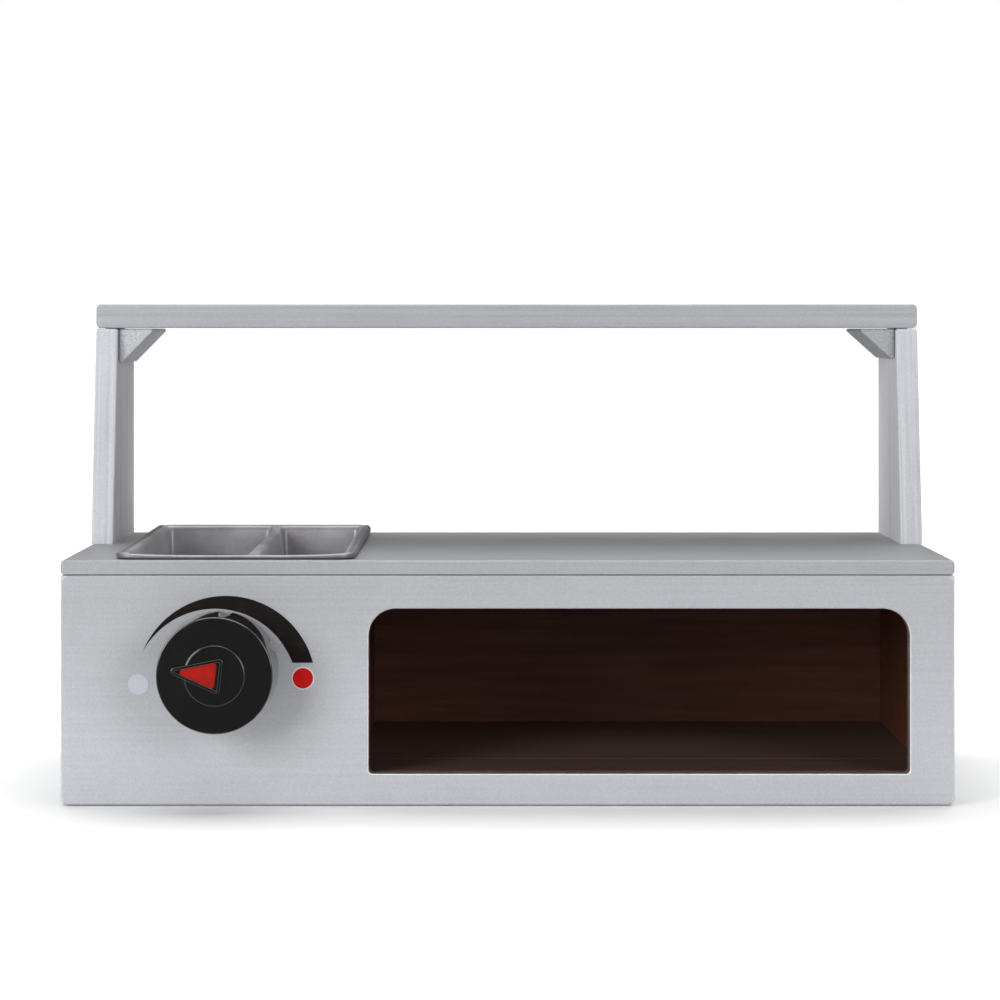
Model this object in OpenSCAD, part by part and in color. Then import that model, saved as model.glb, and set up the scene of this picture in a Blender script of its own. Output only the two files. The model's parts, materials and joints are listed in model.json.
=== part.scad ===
// Toy oven: a play counter with an oven cavity, a clicking heat dial, a drop-in topping tray
// and an upper shelf on two leaning posts. Millimetres, +Z up, front towards -Y.
// The origin is the bottom centre of the bounding box, so it stands on Z = 0.

/* [Box] */
// Width of the box, the countertop and the shelf
counter_w = 457; // [430:1:520]
// Depth of the box, without the dial
base_d = 240; // [232:1:280]
// Height of the box under the countertop
base_h = 118; // [112:1:140]
// Thickness of the front and side panels and of the posts
board_t = 12; // [10:0.5:14]
// Thickness of the back panel
back_t = 9; // [7:0.5:12]
// Corner radius of the panels, seen from the front
corner_r = 3.5; // [1.5:0.5:5]
// Rounding along the boards' edges
ease_r = 1.2; // [0.6:0.1:1.8]

/* [Oven] */
// Board left between the counter's left side and the window, where the dial is
dial_board_w = 157.4; // [148:0.1:190]
// Height of the window
window_h = 84.4; // [70:0.1:88]
// Board left to the right of the window
window_side = 22.9; // [18:0.1:30]
// Height of the sill, which is level with the oven floor
sill_h = 16.5; // [14:0.5:22]
// Radius of the window's top corners
window_top_r = 14; // [8:0.5:20]
// Radius of the window's bottom corners
window_bottom_r = 2; // [1:0.5:5]
// Thickness of the board between the dial's bay and the oven
divider_t = 9; // [7:0.5:12]
// How far that board stands to the left of the window
divider_reveal = 5; // [2:0.5:10]
// Thickness of the oven floor
floor_t = 6; // [4:0.5:9]
// Depth of the floor strip behind the window
hearth_d = 49; // [30:1:80]
// Open joint between the strip and the floor board
floor_seam = 0.6; // [0.3:0.1:1]
// Width of the battens under the floor
cleat_w = 10; // [8:1:16]
// Space between the battens and the ground
cleat_lift = 0.5; // [0.3:0.1:2]

/* [Countertop] */
// Thickness of the countertop
top_t = 7.6; // [6.5:0.1:12]
// Corner radius of the countertop and the shelf
top_corner_r = 2.5; // [1.5:0.5:3]

/* [Posts and shelf] */
// Height of the posts
post_h = 118.4; // [90:0.1:160]
// Depth of a post at its foot
post_foot_d = 109; // [95:1:130]
// Depth of the shelf and of the posts' tops
shelf_d = 86; // [70:1:93]
// Thickness of the shelf
shelf_t = 13.6; // [10.5:0.1:16]
// Leg of the corner blocks
gusset_leg = 19; // [12:1:30]
// How far the blocks end inside the shelf's front and back
gusset_inset = 4; // [1:0.5:8]
// Flat at the blocks' thin ends
gusset_tip = 1.5; // [0.8:0.1:3]

/* [Topping tray] */
// Width over the rolled rim
tray_w = 123.5; // [100:0.5:134]
// Gap inside the box between the tray and the boards in front of it and beside it
tub_clear = 1.7; // [0.5:0.1:3]
// Gap inside the box between the tray and the back panel
tub_back_clear = 8.7; // [4:0.1:40]
// Depth from the rim's top to the tray's underside
tray_depth = 26; // [18:0.5:28]
// Sheet thickness
tray_sheet = 0.8; // [0.5:0.1:1]
// Diameter of the rolled rim
bead_d = 3.4; // [2.6:0.1:4]
// From the rim's outside to the tray's inner wall
lip_w = 9.5; // [9:0.1:12]
// Corner radius of the rim
rim_corner_r = 9; // [6:0.5:14]
// Corner radius of the two compartments
pan_corner_r = 6; // [3:0.5:10]
// Width of the ridge between the compartments
ridge_w = 8; // [5:0.5:12]
// From the rim's left side to the middle of the ridge
ridge_in = 71; // [45:0.5:80]
// How far the ridge's top lies under the rim's top
ridge_drop = 1.7; // [1:0.1:5]
// Gap round the tray in the countertop
tray_fit = 0.7; // [0.4:0.1:0.8]
// Gap under the rim
tray_seat = 0.2; // [0.1:0.05:0.4]

/* [Dial] */
// From the counter's left side to the dial's axis
dial_in = 81.4; // [76:0.2:88]
// From the countertop's underside down to the dial's axis
dial_drop = 48; // [44:0.1:54]
// Diameter of the knob at its rear
knob_d = 60.2; // [52:0.2:61]
// How much smaller the knob's radius is at its face
knob_taper = 0.8; // [0.5:0.1:3]
// Length of the knob, from its rear edge to its face
knob_len = 33; // [24:0.5:40]
// Gap behind the knob
knob_gap = 0.8; // [0.5:0.1:2]
// Wall of the knob
knob_wall = 2.4; // [1.8:0.1:3]
// Rounding round the knob's face
knob_round = 1; // [0.5:0.1:3]
// Number of finger flutes
flute_count = 6; // [4:1:8]
// Radius of the flutes
flute_r = 3.9; // [3:0.1:6]
// Depth of the flutes at the knob's rear
flute_depth = 1.9; // [0.8:0.1:2.5]
// Length of the flutes, from the knob's rear edge
flute_len = 28.5; // [10:0.5:30]
// Diameter of the raised disc on the face
face_disc_d = 30.4; // [24:0.2:36]
// Height of that disc
face_disc_rise = 0.4; // [0.2:0.1:0.8]
// How far the pointer's frame stands above the knob's face
frame_rise = 1.2; // [0.8:0.1:3]
// Tilt of the pointer above level, as the dial stands at rest
pointer_tilt = 6.5; // [4:0.5:8]
// From the dial's axis to the tip of the pointer's frame
frame_tip = 22; // [21.5:0.1:24]
// From the dial's axis to the frame's back edge
frame_tail = 3.6; // [2.5:0.1:5]
// Width of the frame
frame_w = 17.6; // [17:0.1:22]
// Corner radius of the frame
frame_r = 1.8; // [1.5:0.1:2.4]
// From the dial's axis to the tip of the red insert
insert_tip = 17.4; // [14:0.1:17.8]
// From the dial's axis to the insert's back edge
insert_tail = 0.7; // [0.2:0.1:1]
// Width of the insert
insert_w = 13.4; // [9:0.1:13.8]
// Corner radius of the insert
insert_r = 1.8; // [1:0.1:2.4]
// Depth of the pocket that holds the insert, below the knob's face
insert_seat = 1; // [0.5:0.1:1.5]

/* [Dial bearing and click] */
// Diameter of the stem
stem_d = 12; // [11:0.5:13]
// Running gap round the stem
stem_fit = 0.05; // [0.03:0.01:0.09]
// Wall of the bush
bush_wall = 2; // [1.5:0.1:3]
// Width of the bush's flange
bush_flange_w = 3; // [2:0.5:4]
// Thickness of the flange
bush_flange_t = 1.5; // [1:0.1:2]
// Diameter of the click wheel
wheel_d = 30; // [28:1:34]
// Thickness of the click wheel
wheel_t = 4; // [3:0.5:6]
// Turn from click to click, in degrees
click_step = 15; // [10, 15, 30]
// Radius of the notches in the wheel
notch_r = 1.2; // [0.9:0.1:1.4]
// Turn back from rest to the cool stop, in degrees
turn_back = 15; // [10:1:20]
// Turn on from rest to the hot stop, in degrees
turn_on = 180; // [150:1:185]
// How far the stop lug stands out of the click wheel
lug_len = 5; // [4:0.5:6]
// Width of the stop lug, in degrees
lug_angle = 14; // [10:1:18]
// Diameter of the stop pegs
peg_d = 4; // [3:0.5:4]
// Thickness of the click spring's strip
spring_t = 0.5; // [0.4:0.1:0.6]

/* [Heat scale] */
// Thickness of the print
print_t = 0.2; // [0.1:0.05:0.3]
// Outer radius of the crescent
scale_r = 46; // [45:0.2:48]
// Radius of the crescent's inner edge
scale_inner_r = 42.2; // [41.8:0.1:43]
// Diameter of the two dots
dot_d = 10.5; // [8:0.5:12]

/* [Fixings] */
// Diameter of the dowels between the panels
dowel_d = 5; // [4:0.5:5.5]
// Length of the dowels between the panels
dowel_len = 22; // [20:1:28]
// Diameter of the dowels in the posts
post_dowel_d = 6; // [5:0.5:7]
// How deep the post dowels go into the end of a board
post_dowel_seat = 14; // [11:1:18]
// Gap round a dowel
dowel_fit = 0.05; // [0.03:0.01:0.1]
// From a panel's top or bottom to its dowels and screws
fixing_edge = 22; // [21:1:26]
// Length of the back's screws
back_screw_len = 30; // [24:1:36]
// Diameter of the back's screws
back_screw_d = 3.5; // [3:0.1:4]

/* [Hidden] */
$fn = 64;
e = 0.01; // how far a cut runs past the face that it opens

silver = [0.72, 0.73, 0.75];
brown = [0.16, 0.11, 0.10];
metal = [0.66, 0.66, 0.69];
black = [0.03, 0.03, 0.03];
red = [0.82, 0.12, 0.08];
pale = [0.80, 0.84, 0.90];
beech = [0.80, 0.67, 0.48];
steel = [0.75, 0.75, 0.76];
nylon = [0.88, 0.88, 0.85];

// Places along Y: the knob stands proud of the box, and the box is centred with it
knob_reach = knob_gap + knob_len + frame_rise;
front_y = (knob_reach - base_d) / 2;
back_y = front_y + base_d;
inner_front_y = front_y + board_t;
inner_back_y = back_y - back_t;
inner_d = inner_back_y - inner_front_y;

// Places along X
half_w = counter_w / 2;
inner_x = half_w - board_t;
window_right = half_w - window_side;
window_left = dial_board_w - half_w;
window_w = window_right - window_left;
divider_right = window_left - divider_reveal;
divider_left = divider_right - divider_t;
divider_mid = divider_right - divider_t / 2;

// Places along Z
counter_z = base_h + top_t;
shelf_z = counter_z + post_h;
floor_z = sill_h - floor_t;
dial_z = base_h - dial_drop;

// Tray
bead_r = bead_d / 2;
tub_in = lip_w - tray_sheet;
tray_l = inner_d - tub_clear - tub_back_clear + 2 * tub_in;
tray_x = divider_left - tub_clear - tray_w + tub_in;
tray_y = inner_front_y + tub_clear - tub_in;
rim_z = counter_z + tray_seat + bead_d;
tub_r = pan_corner_r + tray_sheet;
pan_w = tray_w - 2 * lip_w;
pan_l = tray_l - 2 * lip_w;
pan_left_w = ridge_in - ridge_w / 2 - lip_w;
pan_right_w = pan_w - pan_left_w - ridge_w;

// Dial, along its own axis: 0 is the panel's face, and plus is towards the front
knob_r = knob_d / 2;
face_r = knob_r - knob_taper;
knob_face = knob_gap + knob_len;
stem_r = stem_d / 2;
hub_wall = 2.5;
bush_r = stem_r + stem_fit + bush_wall;
wheel_gap = 0.4;
wheel_face = -board_t - wheel_gap;
wheel_back = wheel_face - wheel_t;
wheel_r = wheel_d / 2;
hub_end = bush_flange_t + wheel_gap;
insert_drop = 0.3; // from the frame's top to the insert's
key_w = 7;
key_short = 0.2; // the key ends inside the wheel, so the washer clamps the wheel
pointer_angle = 180 - pointer_tilt;
lug_reach = wheel_r + lug_len;
peg_gap = 0.3; // round a peg, to the lug at an end stop
peg_lift = 0.8; // between the wheel and a peg
peg_r = peg_d / 2;
peg_orbit = wheel_r + peg_lift + peg_r;
peg_half_angle = asin((peg_r + peg_gap) / peg_orbit);
peg_seat = 8;

// Click spring: a strip under the wheel with a round nose in the lowest notch
spring_gap = 0.3;
nose_angle = 270;
nose_r = notch_r - 0.2;
strip_top = -wheel_r - spring_gap;
strip_free = 6;
foot_in = wheel_r + 2;
foot_w = 14;
foot_h = 10;
foot_screw_in = 3.5;
foot_screw_r = 1.2;
foot_screw_head_r = 2.3;
foot_screw_head_t = 1.6;
foot_screw_seat = 8;
slot_share = 1.3; // a cross slot's length, in radii of its screw's head

// Wheel screw and washer
washer_r = stem_r + 0.5;
washer_t = 1;
wheel_screw_r = 1.5;
wheel_screw_seat = 10;
pan_head_r = 3.2;
pan_head_t = 2.2;

// Heat scale, from the dial's axis: sideways and up
scale_off = [3.2, -8.5];
scale_inner_off = [-2.4, -11.3];
scale_cut = 3.3;
scale_facets = 128;
cool_dot_off = [-41.6, -7.7];
hot_dot_off = [42.5, -4.6];

// Fixings
inner_ease_r = 0.6; // round the edges of the side panels
dowel_r = dowel_d / 2;
dowel_end_gap = 0.5;
dowel_front_seat = 7;
dowel_rows = [fixing_edge, base_h - fixing_edge];
dowel_columns = [half_w - board_t / 2, divider_mid, board_t / 2 - half_w];
counter_dowel_in = 78.5; // from the countertop's sides
counter_dowel_x = half_w - counter_dowel_in;
counter_dowel_up = 5;
counter_dowel_seat = 10;
post_dowel_r = post_dowel_d / 2;
post_x = half_w - board_t / 2;
post_dowel_back = 24;
post_dowel_front = 22; // from the foot's front edge
shelf_dowel_in = 20; // from the shelf's front and back
shelf_dowel_up = 8;
back_screw_r = back_screw_d / 2;
csk_head_r = back_screw_d;
csk_head_t = csk_head_r - back_screw_r;

// Degrees between a direction and the lug's
function from_lug(angle) = abs((angle - pointer_angle + 540) % 360 - 180);

// A rectangle from the origin with round corners
module rounded_rect(w, h, r) {
    translate([r, 0]) square([w - 2 * r, h]);
    translate([0, r]) square([w, h - 2 * r]);
    for (x = [r, w - r], y = [r, h - r]) translate([x, y]) circle(r);
}

// A round-cornered shape of circles of radius r, with their centres in anticlockwise order
module rounded_polygon(centres, r) {
    n = len(centres);
    polygon(centres);
    for (i = [0 : n - 1]) {
        a = centres[i];
        b = centres[(i + 1) % n];
        out = [b[1] - a[1], a[0] - b[0]] * r / norm(b - a);
        polygon([a, a + out, b + out, b]);
        translate(a) circle(r);
    }
}

// A board from the origin: rx, ry and rz round the edges that run along X, Y and Z
module eased_board(w, d, h, rx, ry, rz) {
    intersection() {
        linear_extrude(h) rounded_rect(w, d, rz);
        translate([0, d, 0]) rotate([90, 0, 0]) linear_extrude(d) rounded_rect(w, h, ry);
        rotate([90, 0, 90]) linear_extrude(w) rounded_rect(d, h, rx);
    }
}

// Children on the dial's axis, with X to the right, Y up and Z towards the front
module at_dial() {
    translate([dial_in - half_w, front_y, dial_z]) rotate([90, 0, 0]) children();
}

// A rod along Y
module rod_y(r, y0, y1) {
    translate([0, y1, 0]) rotate([90, 0, 0]) cylinder(r = r, h = y1 - y0);
}

// A cross slot, cut into a screw's head
module cross_slot(size, depth) {
    for (turn = [0, 90]) rotate(turn)
        translate([-size / 2, -size / 8, -e]) cube([size, size / 4, depth + e]);
}

// Dowels between the front panel and the boards behind it
module front_dowel_set(fit, end_gap) {
    for (x = dowel_columns, z = dowel_rows) translate([x, inner_front_y, z])
        rod_y(dowel_r + fit, -dowel_front_seat - end_gap, dowel_len - dowel_front_seat + end_gap);
}

// Dowels between the countertop and the front and back panels
module counter_dowel_set(fit, end_gap) {
    seat = counter_dowel_seat + end_gap;
    for (x = [-counter_dowel_x, counter_dowel_x], y = [front_y + board_t / 2, back_y - back_t / 2])
        translate([x, y, base_h - seat])
            cylinder(r = dowel_r + fit, h = seat + counter_dowel_up + end_gap);
}

// Dowels from the side panels, through the countertop, into the posts
module post_dowel_set(fit, end_gap) {
    seat = post_dowel_seat + end_gap;
    for (x = [-post_x, post_x], y = [back_y - post_foot_d + post_dowel_front, back_y - post_dowel_back])
        translate([x, y, base_h - seat]) cylinder(r = post_dowel_r + fit, h = top_t + 2 * seat);
}

// Dowels between the posts and the shelf
module shelf_dowel_set(fit, end_gap) {
    seat = post_dowel_seat + end_gap;
    for (x = [-post_x, post_x], y = [back_y - shelf_d + shelf_dowel_in, back_y - shelf_dowel_in])
        translate([x, y, shelf_z - seat])
            cylinder(r = post_dowel_r + fit, h = seat + shelf_dowel_up + end_gap);
}

// Screws through the back panel into the boards in front of it
module back_screw_set(fit, end_gap) {
    for (x = dowel_columns, z = dowel_rows) translate([x, back_y, z]) {
        rod_y(back_screw_r + fit, -back_screw_len - end_gap, 0);
        rotate([90, 0, 0]) cylinder(r1 = csk_head_r + fit, r2 = back_screw_r + fit, h = csk_head_t);
    }
}

// The window from its lower left corner, with its own radius at the top and at the bottom
module window_outline() {
    bottom_flat = window_w - 2 * window_bottom_r;
    top_flat = window_w - 2 * window_top_r;
    side_flat = window_h - window_bottom_r - window_top_r;
    translate([0, window_bottom_r]) square([window_w, side_flat]);
    translate([window_bottom_r, 0]) square([bottom_flat, window_h - window_top_r]);
    translate([window_top_r, window_bottom_r]) square([top_flat, window_h - window_bottom_r]);
    for (x = [window_bottom_r, window_w - window_bottom_r])
        translate([x, window_bottom_r]) circle(window_bottom_r);
    for (x = [window_top_r, window_w - window_top_r])
        translate([x, window_h - window_top_r]) circle(window_top_r);
}

module front_panel() {
    color(silver) difference() {
        translate([-half_w, front_y, 0])
            eased_board(counter_w, board_t, base_h, ease_r, corner_r, ease_r);
        translate([window_left, inner_front_y + e, sill_h]) rotate([90, 0, 0])
            linear_extrude(board_t + 2 * e) window_outline();
        at_dial() {
            translate([0, 0, -board_t - e]) cylinder(r = bush_r, h = board_t + 2 * e);
            translate([0, 0, -board_t - e]) foot_screw_places()
                cylinder(r = foot_screw_r, h = foot_screw_seat + e);
            translate([0, 0, -board_t - e]) peg_places() cylinder(r = peg_r, h = peg_seat + e);
        }
        front_dowel_set(dowel_fit, dowel_end_gap);
        counter_dowel_set(dowel_fit, dowel_end_gap);
    }
}

module side_panel() {
    difference() {
        translate([inner_x, inner_front_y, 0])
            eased_board(board_t, inner_d, base_h, inner_ease_r, inner_ease_r, inner_ease_r);
        front_dowel_set(dowel_fit, dowel_end_gap);
        post_dowel_set(dowel_fit, dowel_end_gap);
        back_screw_set(0, dowel_end_gap);
    }
}

module left_side_panel() {
    color(silver) mirror([1, 0, 0]) side_panel();
}

module right_side_panel() {
    color(silver) side_panel();
}

module back_panel() {
    color(silver) difference() {
        translate([-half_w, inner_back_y, 0])
            eased_board(counter_w, back_t, base_h, ease_r, corner_r, ease_r);
        counter_dowel_set(dowel_fit, dowel_end_gap);
        back_screw_set(0, dowel_end_gap);
    }
}

module cavity_divider() {
    color(brown) difference() {
        translate([divider_left, inner_front_y, 0]) cube([divider_t, inner_d, base_h]);
        front_dowel_set(dowel_fit, dowel_end_gap);
        back_screw_set(0, dowel_end_gap);
    }
}

module floor_board() {
    start_y = inner_front_y + hearth_d + floor_seam;
    color(brown) translate([divider_right, start_y, floor_z])
        cube([inner_x - divider_right, inner_back_y - start_y, floor_t]);
}

module hearth_strip() {
    color(brown) translate([divider_right, inner_front_y, floor_z])
        cube([inner_x - divider_right, hearth_d, floor_t]);
}

module floor_cleat(x) {
    color(beech) translate([x, inner_front_y, cleat_lift])
        cube([cleat_w, inner_d, floor_z - cleat_lift]);
}

module left_floor_cleat() {
    floor_cleat(divider_right);
}

module right_floor_cleat() {
    floor_cleat(inner_x - cleat_w);
}

module countertop() {
    cut_in = tub_in - tray_fit;
    color(silver) difference() {
        translate([-half_w, front_y, base_h])
            eased_board(counter_w, base_d, top_t, ease_r, top_corner_r, top_corner_r);
        translate([tray_x + cut_in, tray_y + cut_in, base_h - e])
            linear_extrude(top_t + 2 * e)
                rounded_rect(tray_w - 2 * cut_in, tray_l - 2 * cut_in, tub_r + tray_fit);
        counter_dowel_set(dowel_fit, dowel_end_gap);
        post_dowel_set(dowel_fit, dowel_end_gap);
    }
}

module post() {
    difference() {
        translate([inner_x, back_y, counter_z]) rotate([90, 0, 90]) linear_extrude(board_t)
            polygon([[-post_foot_d, 0], [0, 0], [0, post_h], [-shelf_d, post_h]]);
        post_dowel_set(dowel_fit, dowel_end_gap);
        shelf_dowel_set(dowel_fit, dowel_end_gap);
    }
}

module left_post() {
    color(silver) mirror([1, 0, 0]) post();
}

module right_post() {
    color(silver) post();
}

module top_shelf() {
    color(silver) difference() {
        translate([-half_w, back_y - shelf_d, shelf_z])
            eased_board(counter_w, shelf_d, shelf_t, ease_r, top_corner_r, top_corner_r);
        shelf_dowel_set(dowel_fit, dowel_end_gap);
    }
}

module gusset() {
    translate([inner_x, back_y - gusset_inset, shelf_z]) rotate([90, 0, 0])
        linear_extrude(shelf_d - 2 * gusset_inset)
            polygon([[0, 0], [-gusset_leg, 0], [-gusset_leg, -gusset_tip],
                [-gusset_tip, -gusset_leg], [0, -gusset_leg]]);
}

module left_gusset() {
    color(silver) mirror([1, 0, 0]) gusset();
}

module right_gusset() {
    color(silver) gusset();
}

// The rolled rim: four straight rods and four quarter rings
module rolled_rim() {
    turn_r = rim_corner_r - bead_r;
    far_x = tray_w - rim_corner_r;
    far_y = tray_l - rim_corner_r;
    for (corner = [[far_x, far_y, 0], [rim_corner_r, far_y, 90],
            [rim_corner_r, rim_corner_r, 180], [far_x, rim_corner_r, 270]])
        translate([corner[0], corner[1], 0]) rotate(corner[2])
            rotate_extrude(angle = 90) translate([turn_r, 0]) circle(bead_r);
    for (x = [bead_r, tray_w - bead_r]) translate([x, rim_corner_r, 0])
        rotate([-90, 0, 0]) cylinder(r = bead_r, h = far_y - rim_corner_r);
    for (y = [bead_r, tray_l - bead_r]) translate([rim_corner_r, y, 0])
        rotate([0, 90, 0]) cylinder(r = bead_r, h = far_x - rim_corner_r);
}

module topping_tray() {
    bottom_z = rim_z - tray_depth;
    pan_z = bottom_z + tray_sheet;
    ridge_z = rim_z - ridge_drop;
    color(metal) translate([tray_x, tray_y, 0]) difference() {
        union() {
            translate([0, 0, rim_z - bead_r]) rolled_rim();
            translate([bead_r, bead_r, rim_z - tray_sheet]) linear_extrude(tray_sheet)
                rounded_rect(tray_w - bead_d, tray_l - bead_d, rim_corner_r - bead_r);
            translate([tub_in, tub_in, bottom_z]) linear_extrude(tray_depth)
                rounded_rect(tray_w - 2 * tub_in, tray_l - 2 * tub_in, tub_r);
        }
        translate([lip_w, lip_w, pan_z]) linear_extrude(tray_depth)
            rounded_rect(pan_left_w, pan_l, pan_corner_r);
        translate([lip_w + pan_left_w + ridge_w, lip_w, pan_z]) linear_extrude(tray_depth)
            rounded_rect(pan_right_w, pan_l, pan_corner_r);
        translate([lip_w, lip_w, ridge_z]) linear_extrude(tray_depth)
            rounded_rect(pan_w, pan_l, pan_corner_r);
        translate([ridge_in - ridge_w / 2 + tray_sheet, lip_w + pan_corner_r, bottom_z - e])
            cube([ridge_w - 2 * tray_sheet, pan_l - 2 * pan_corner_r,
                ridge_z - tray_sheet - bottom_z + e]);
    }
}

// A triangle that points along -X, with round corners
module pointer_outline(tip, tail, width, r) {
    half = width / 2 - r;
    rounded_polygon([[r - tip, 0], [tail - r, -half], [tail - r, half]], r);
}

module frame_outline() {
    pointer_outline(frame_tip, frame_tail, frame_w, frame_r);
}

module insert_outline() {
    pointer_outline(insert_tip, insert_tail, insert_w, insert_r);
}

// Half of the knob's section: the closed face, the wall, and the hub in the middle
module knob_section() {
    hollow_r = min(face_r, knob_r - flute_depth) - knob_wall;
    hub_r = stem_r + hub_wall;
    shoulder = knob_face - knob_round;
    difference() {
        union() {
            polygon([[0, knob_gap], [knob_r, knob_gap], [face_r, shoulder], [0, shoulder]]);
            square([face_r - knob_round, knob_face]);
            translate([face_r - knob_round, shoulder]) circle(knob_round);
        }
        translate([-knob_r, -e]) square([knob_r, 2 * knob_face]);
        translate([hub_r, -e]) square([hollow_r - hub_r, knob_face - knob_wall + e]);
        translate([0, -e]) square([knob_r, knob_gap + e]);
        square([hub_r + e, hub_end]);
    }
}

// The knob is a shell with flutes, and its stem goes through the panel to the click wheel
module knob_body() {
    key_end = wheel_back + key_short;
    color(black) at_dial() difference() {
        union() {
            rotate_extrude() knob_section();
            translate([0, 0, knob_face - e]) cylinder(d = face_disc_d, h = face_disc_rise + e);
            rotate(-pointer_tilt) translate([0, 0, knob_face - e])
                linear_extrude(frame_rise + e) frame_outline();
            translate([0, 0, wheel_face]) cylinder(r = stem_r, h = hub_end - wheel_face + e);
            translate([-key_w / 2, -key_w / 2, key_end])
                cube([key_w, key_w, wheel_face - key_end + e]);
        }
        rotate(-pointer_tilt) translate([0, 0, knob_face - insert_seat])
            linear_extrude(insert_seat + frame_rise + e) insert_outline();
        for (i = [0 : flute_count - 1])
            rotate(pointer_angle + (i + 0.5) * 360 / flute_count)
                translate([knob_r + flute_r - flute_depth, 0, 0])
                    cylinder(r = flute_r, h = knob_gap + flute_len);
        translate([0, 0, key_end - e]) cylinder(r = wheel_screw_r, h = wheel_screw_seat + e);
    }
}

module knob_pointer() {
    color(red) at_dial() rotate(-pointer_tilt) translate([0, 0, knob_face - insert_seat])
        linear_extrude(insert_seat + frame_rise - insert_drop) insert_outline();
}

// Round notches in the rim at every click, and a lug that meets the pegs at the end stops
module detent_wheel() {
    lug_side = 2 * lug_reach * tan(lug_angle / 2);
    color(nylon) at_dial() translate([0, 0, wheel_back]) difference() {
        union() {
            cylinder(r = wheel_r, h = wheel_t);
            rotate(pointer_angle) intersection() {
                cylinder(r = lug_reach, h = wheel_t);
                linear_extrude(wheel_t)
                    polygon([[0, 0], [2 * lug_reach, -lug_side], [2 * lug_reach, lug_side]]);
            }
        }
        for (turn = [0 : click_step : 359]) if (from_lug(nose_angle + turn) > lug_angle)
            rotate(nose_angle + turn) translate([wheel_r, 0, -e])
                cylinder(r = notch_r, h = wheel_t + 2 * e);
        translate([-key_w / 2, -key_w / 2, -e]) cube([key_w, key_w, wheel_t + 2 * e]);
    }
}

module wheel_washer() {
    color(steel) at_dial() translate([0, 0, wheel_back - washer_t]) difference() {
        cylinder(r = washer_r, h = washer_t);
        translate([0, 0, -e]) cylinder(r = wheel_screw_r, h = washer_t + 2 * e);
    }
}

module wheel_screw() {
    head_z = wheel_back - washer_t;
    tip_z = wheel_back + key_short + wheel_screw_seat - dowel_end_gap;
    color(steel) at_dial() difference() {
        union() {
            translate([0, 0, head_z - pan_head_t]) cylinder(r = pan_head_r, h = pan_head_t);
            translate([0, 0, head_z - e]) cylinder(r = wheel_screw_r, h = tip_z - head_z + e);
        }
        translate([0, 0, head_z - pan_head_t]) cross_slot(slot_share * pan_head_r, pan_head_t / 2);
    }
}

// The bush stands in the panel, and its flange lies on the panel's face
module dial_bush() {
    color(nylon) at_dial() difference() {
        union() {
            translate([0, 0, -board_t]) cylinder(r = bush_r, h = board_t + bush_flange_t);
            cylinder(r = bush_r + bush_flange_w, h = bush_flange_t);
        }
        translate([0, 0, -board_t - e])
            cylinder(r = stem_r + stem_fit, h = board_t + bush_flange_t + 2 * e);
    }
}

module foot_screw_places() {
    for (x = [foot_in + foot_screw_in, foot_in + foot_w - foot_screw_in])
        translate([x, strip_top - foot_h / 2, 0]) children();
}

// The strip passes under the wheel with its nose in the lowest notch, and its bent foot is
// screwed to the panel's back
module click_spring() {
    color(steel) at_dial() difference() {
        union() {
            translate([-strip_free, strip_top - spring_t, wheel_back])
                cube([strip_free + foot_in + e, spring_t, wheel_t]);
            translate([0, strip_top, wheel_back]) cylinder(r = nose_r, h = wheel_t);
            translate([foot_in, strip_top - spring_t, wheel_back])
                cube([foot_w, spring_t, -board_t - wheel_back]);
            translate([foot_in, strip_top - foot_h, -board_t - spring_t])
                cube([foot_w, foot_h, spring_t]);
        }
        foot_screw_places() translate([0, 0, wheel_back]) cylinder(r = foot_screw_r, h = board_t);
    }
}

module click_spring_screws() {
    color(steel) at_dial() foot_screw_places() difference() {
        union() {
            translate([0, 0, -board_t - spring_t - foot_screw_head_t])
                cylinder(r = foot_screw_head_r, h = foot_screw_head_t);
            translate([0, 0, -board_t - spring_t - e])
                cylinder(r = foot_screw_r, h = spring_t + foot_screw_seat - dowel_end_gap);
        }
        translate([0, 0, -board_t - spring_t - foot_screw_head_t])
            cross_slot(slot_share * foot_screw_head_r, foot_screw_head_t / 2);
    }
}

// One peg past each end of the lug's travel
module peg_places() {
    reach = lug_angle / 2 + peg_half_angle;
    for (angle = [pointer_angle + turn_back + reach, pointer_angle - turn_on - reach])
        rotate(angle) translate([peg_orbit, 0, 0]) children();
}

module stop_pegs() {
    color(steel) at_dial() translate([0, 0, wheel_back]) peg_places()
        cylinder(r = peg_r, h = -wheel_back - board_t + peg_seat - dowel_end_gap);
}

module dial_scale_print() {
    color(black) at_dial() linear_extrude(print_t) intersection() {
        difference() {
            translate(scale_off) circle(scale_r, $fn = scale_facets);
            translate(scale_inner_off) circle(scale_inner_r, $fn = scale_facets);
        }
        translate([-2 * scale_r, scale_cut]) square([4 * scale_r, 2 * scale_r]);
    }
}

module dot_print(off) {
    at_dial() translate(off) cylinder(d = dot_d, h = print_t);
}

module cool_dot_print() {
    color(pale) dot_print(cool_dot_off);
}

module hot_dot_print() {
    color(red) dot_print(hot_dot_off);
}

module front_dowels() {
    color(beech) front_dowel_set(0, 0);
}

module counter_dowels() {
    color(beech) counter_dowel_set(0, 0);
}

module post_dowels() {
    color(beech) post_dowel_set(0, 0);
}

module shelf_dowels() {
    color(beech) shelf_dowel_set(0, 0);
}

module back_screws() {
    color(steel) difference() {
        back_screw_set(0, 0);
        for (x = dowel_columns, z = dowel_rows) translate([x, back_y, z]) rotate([90, 0, 0])
            cross_slot(slot_share * csk_head_r, csk_head_t);
    }
}

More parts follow.
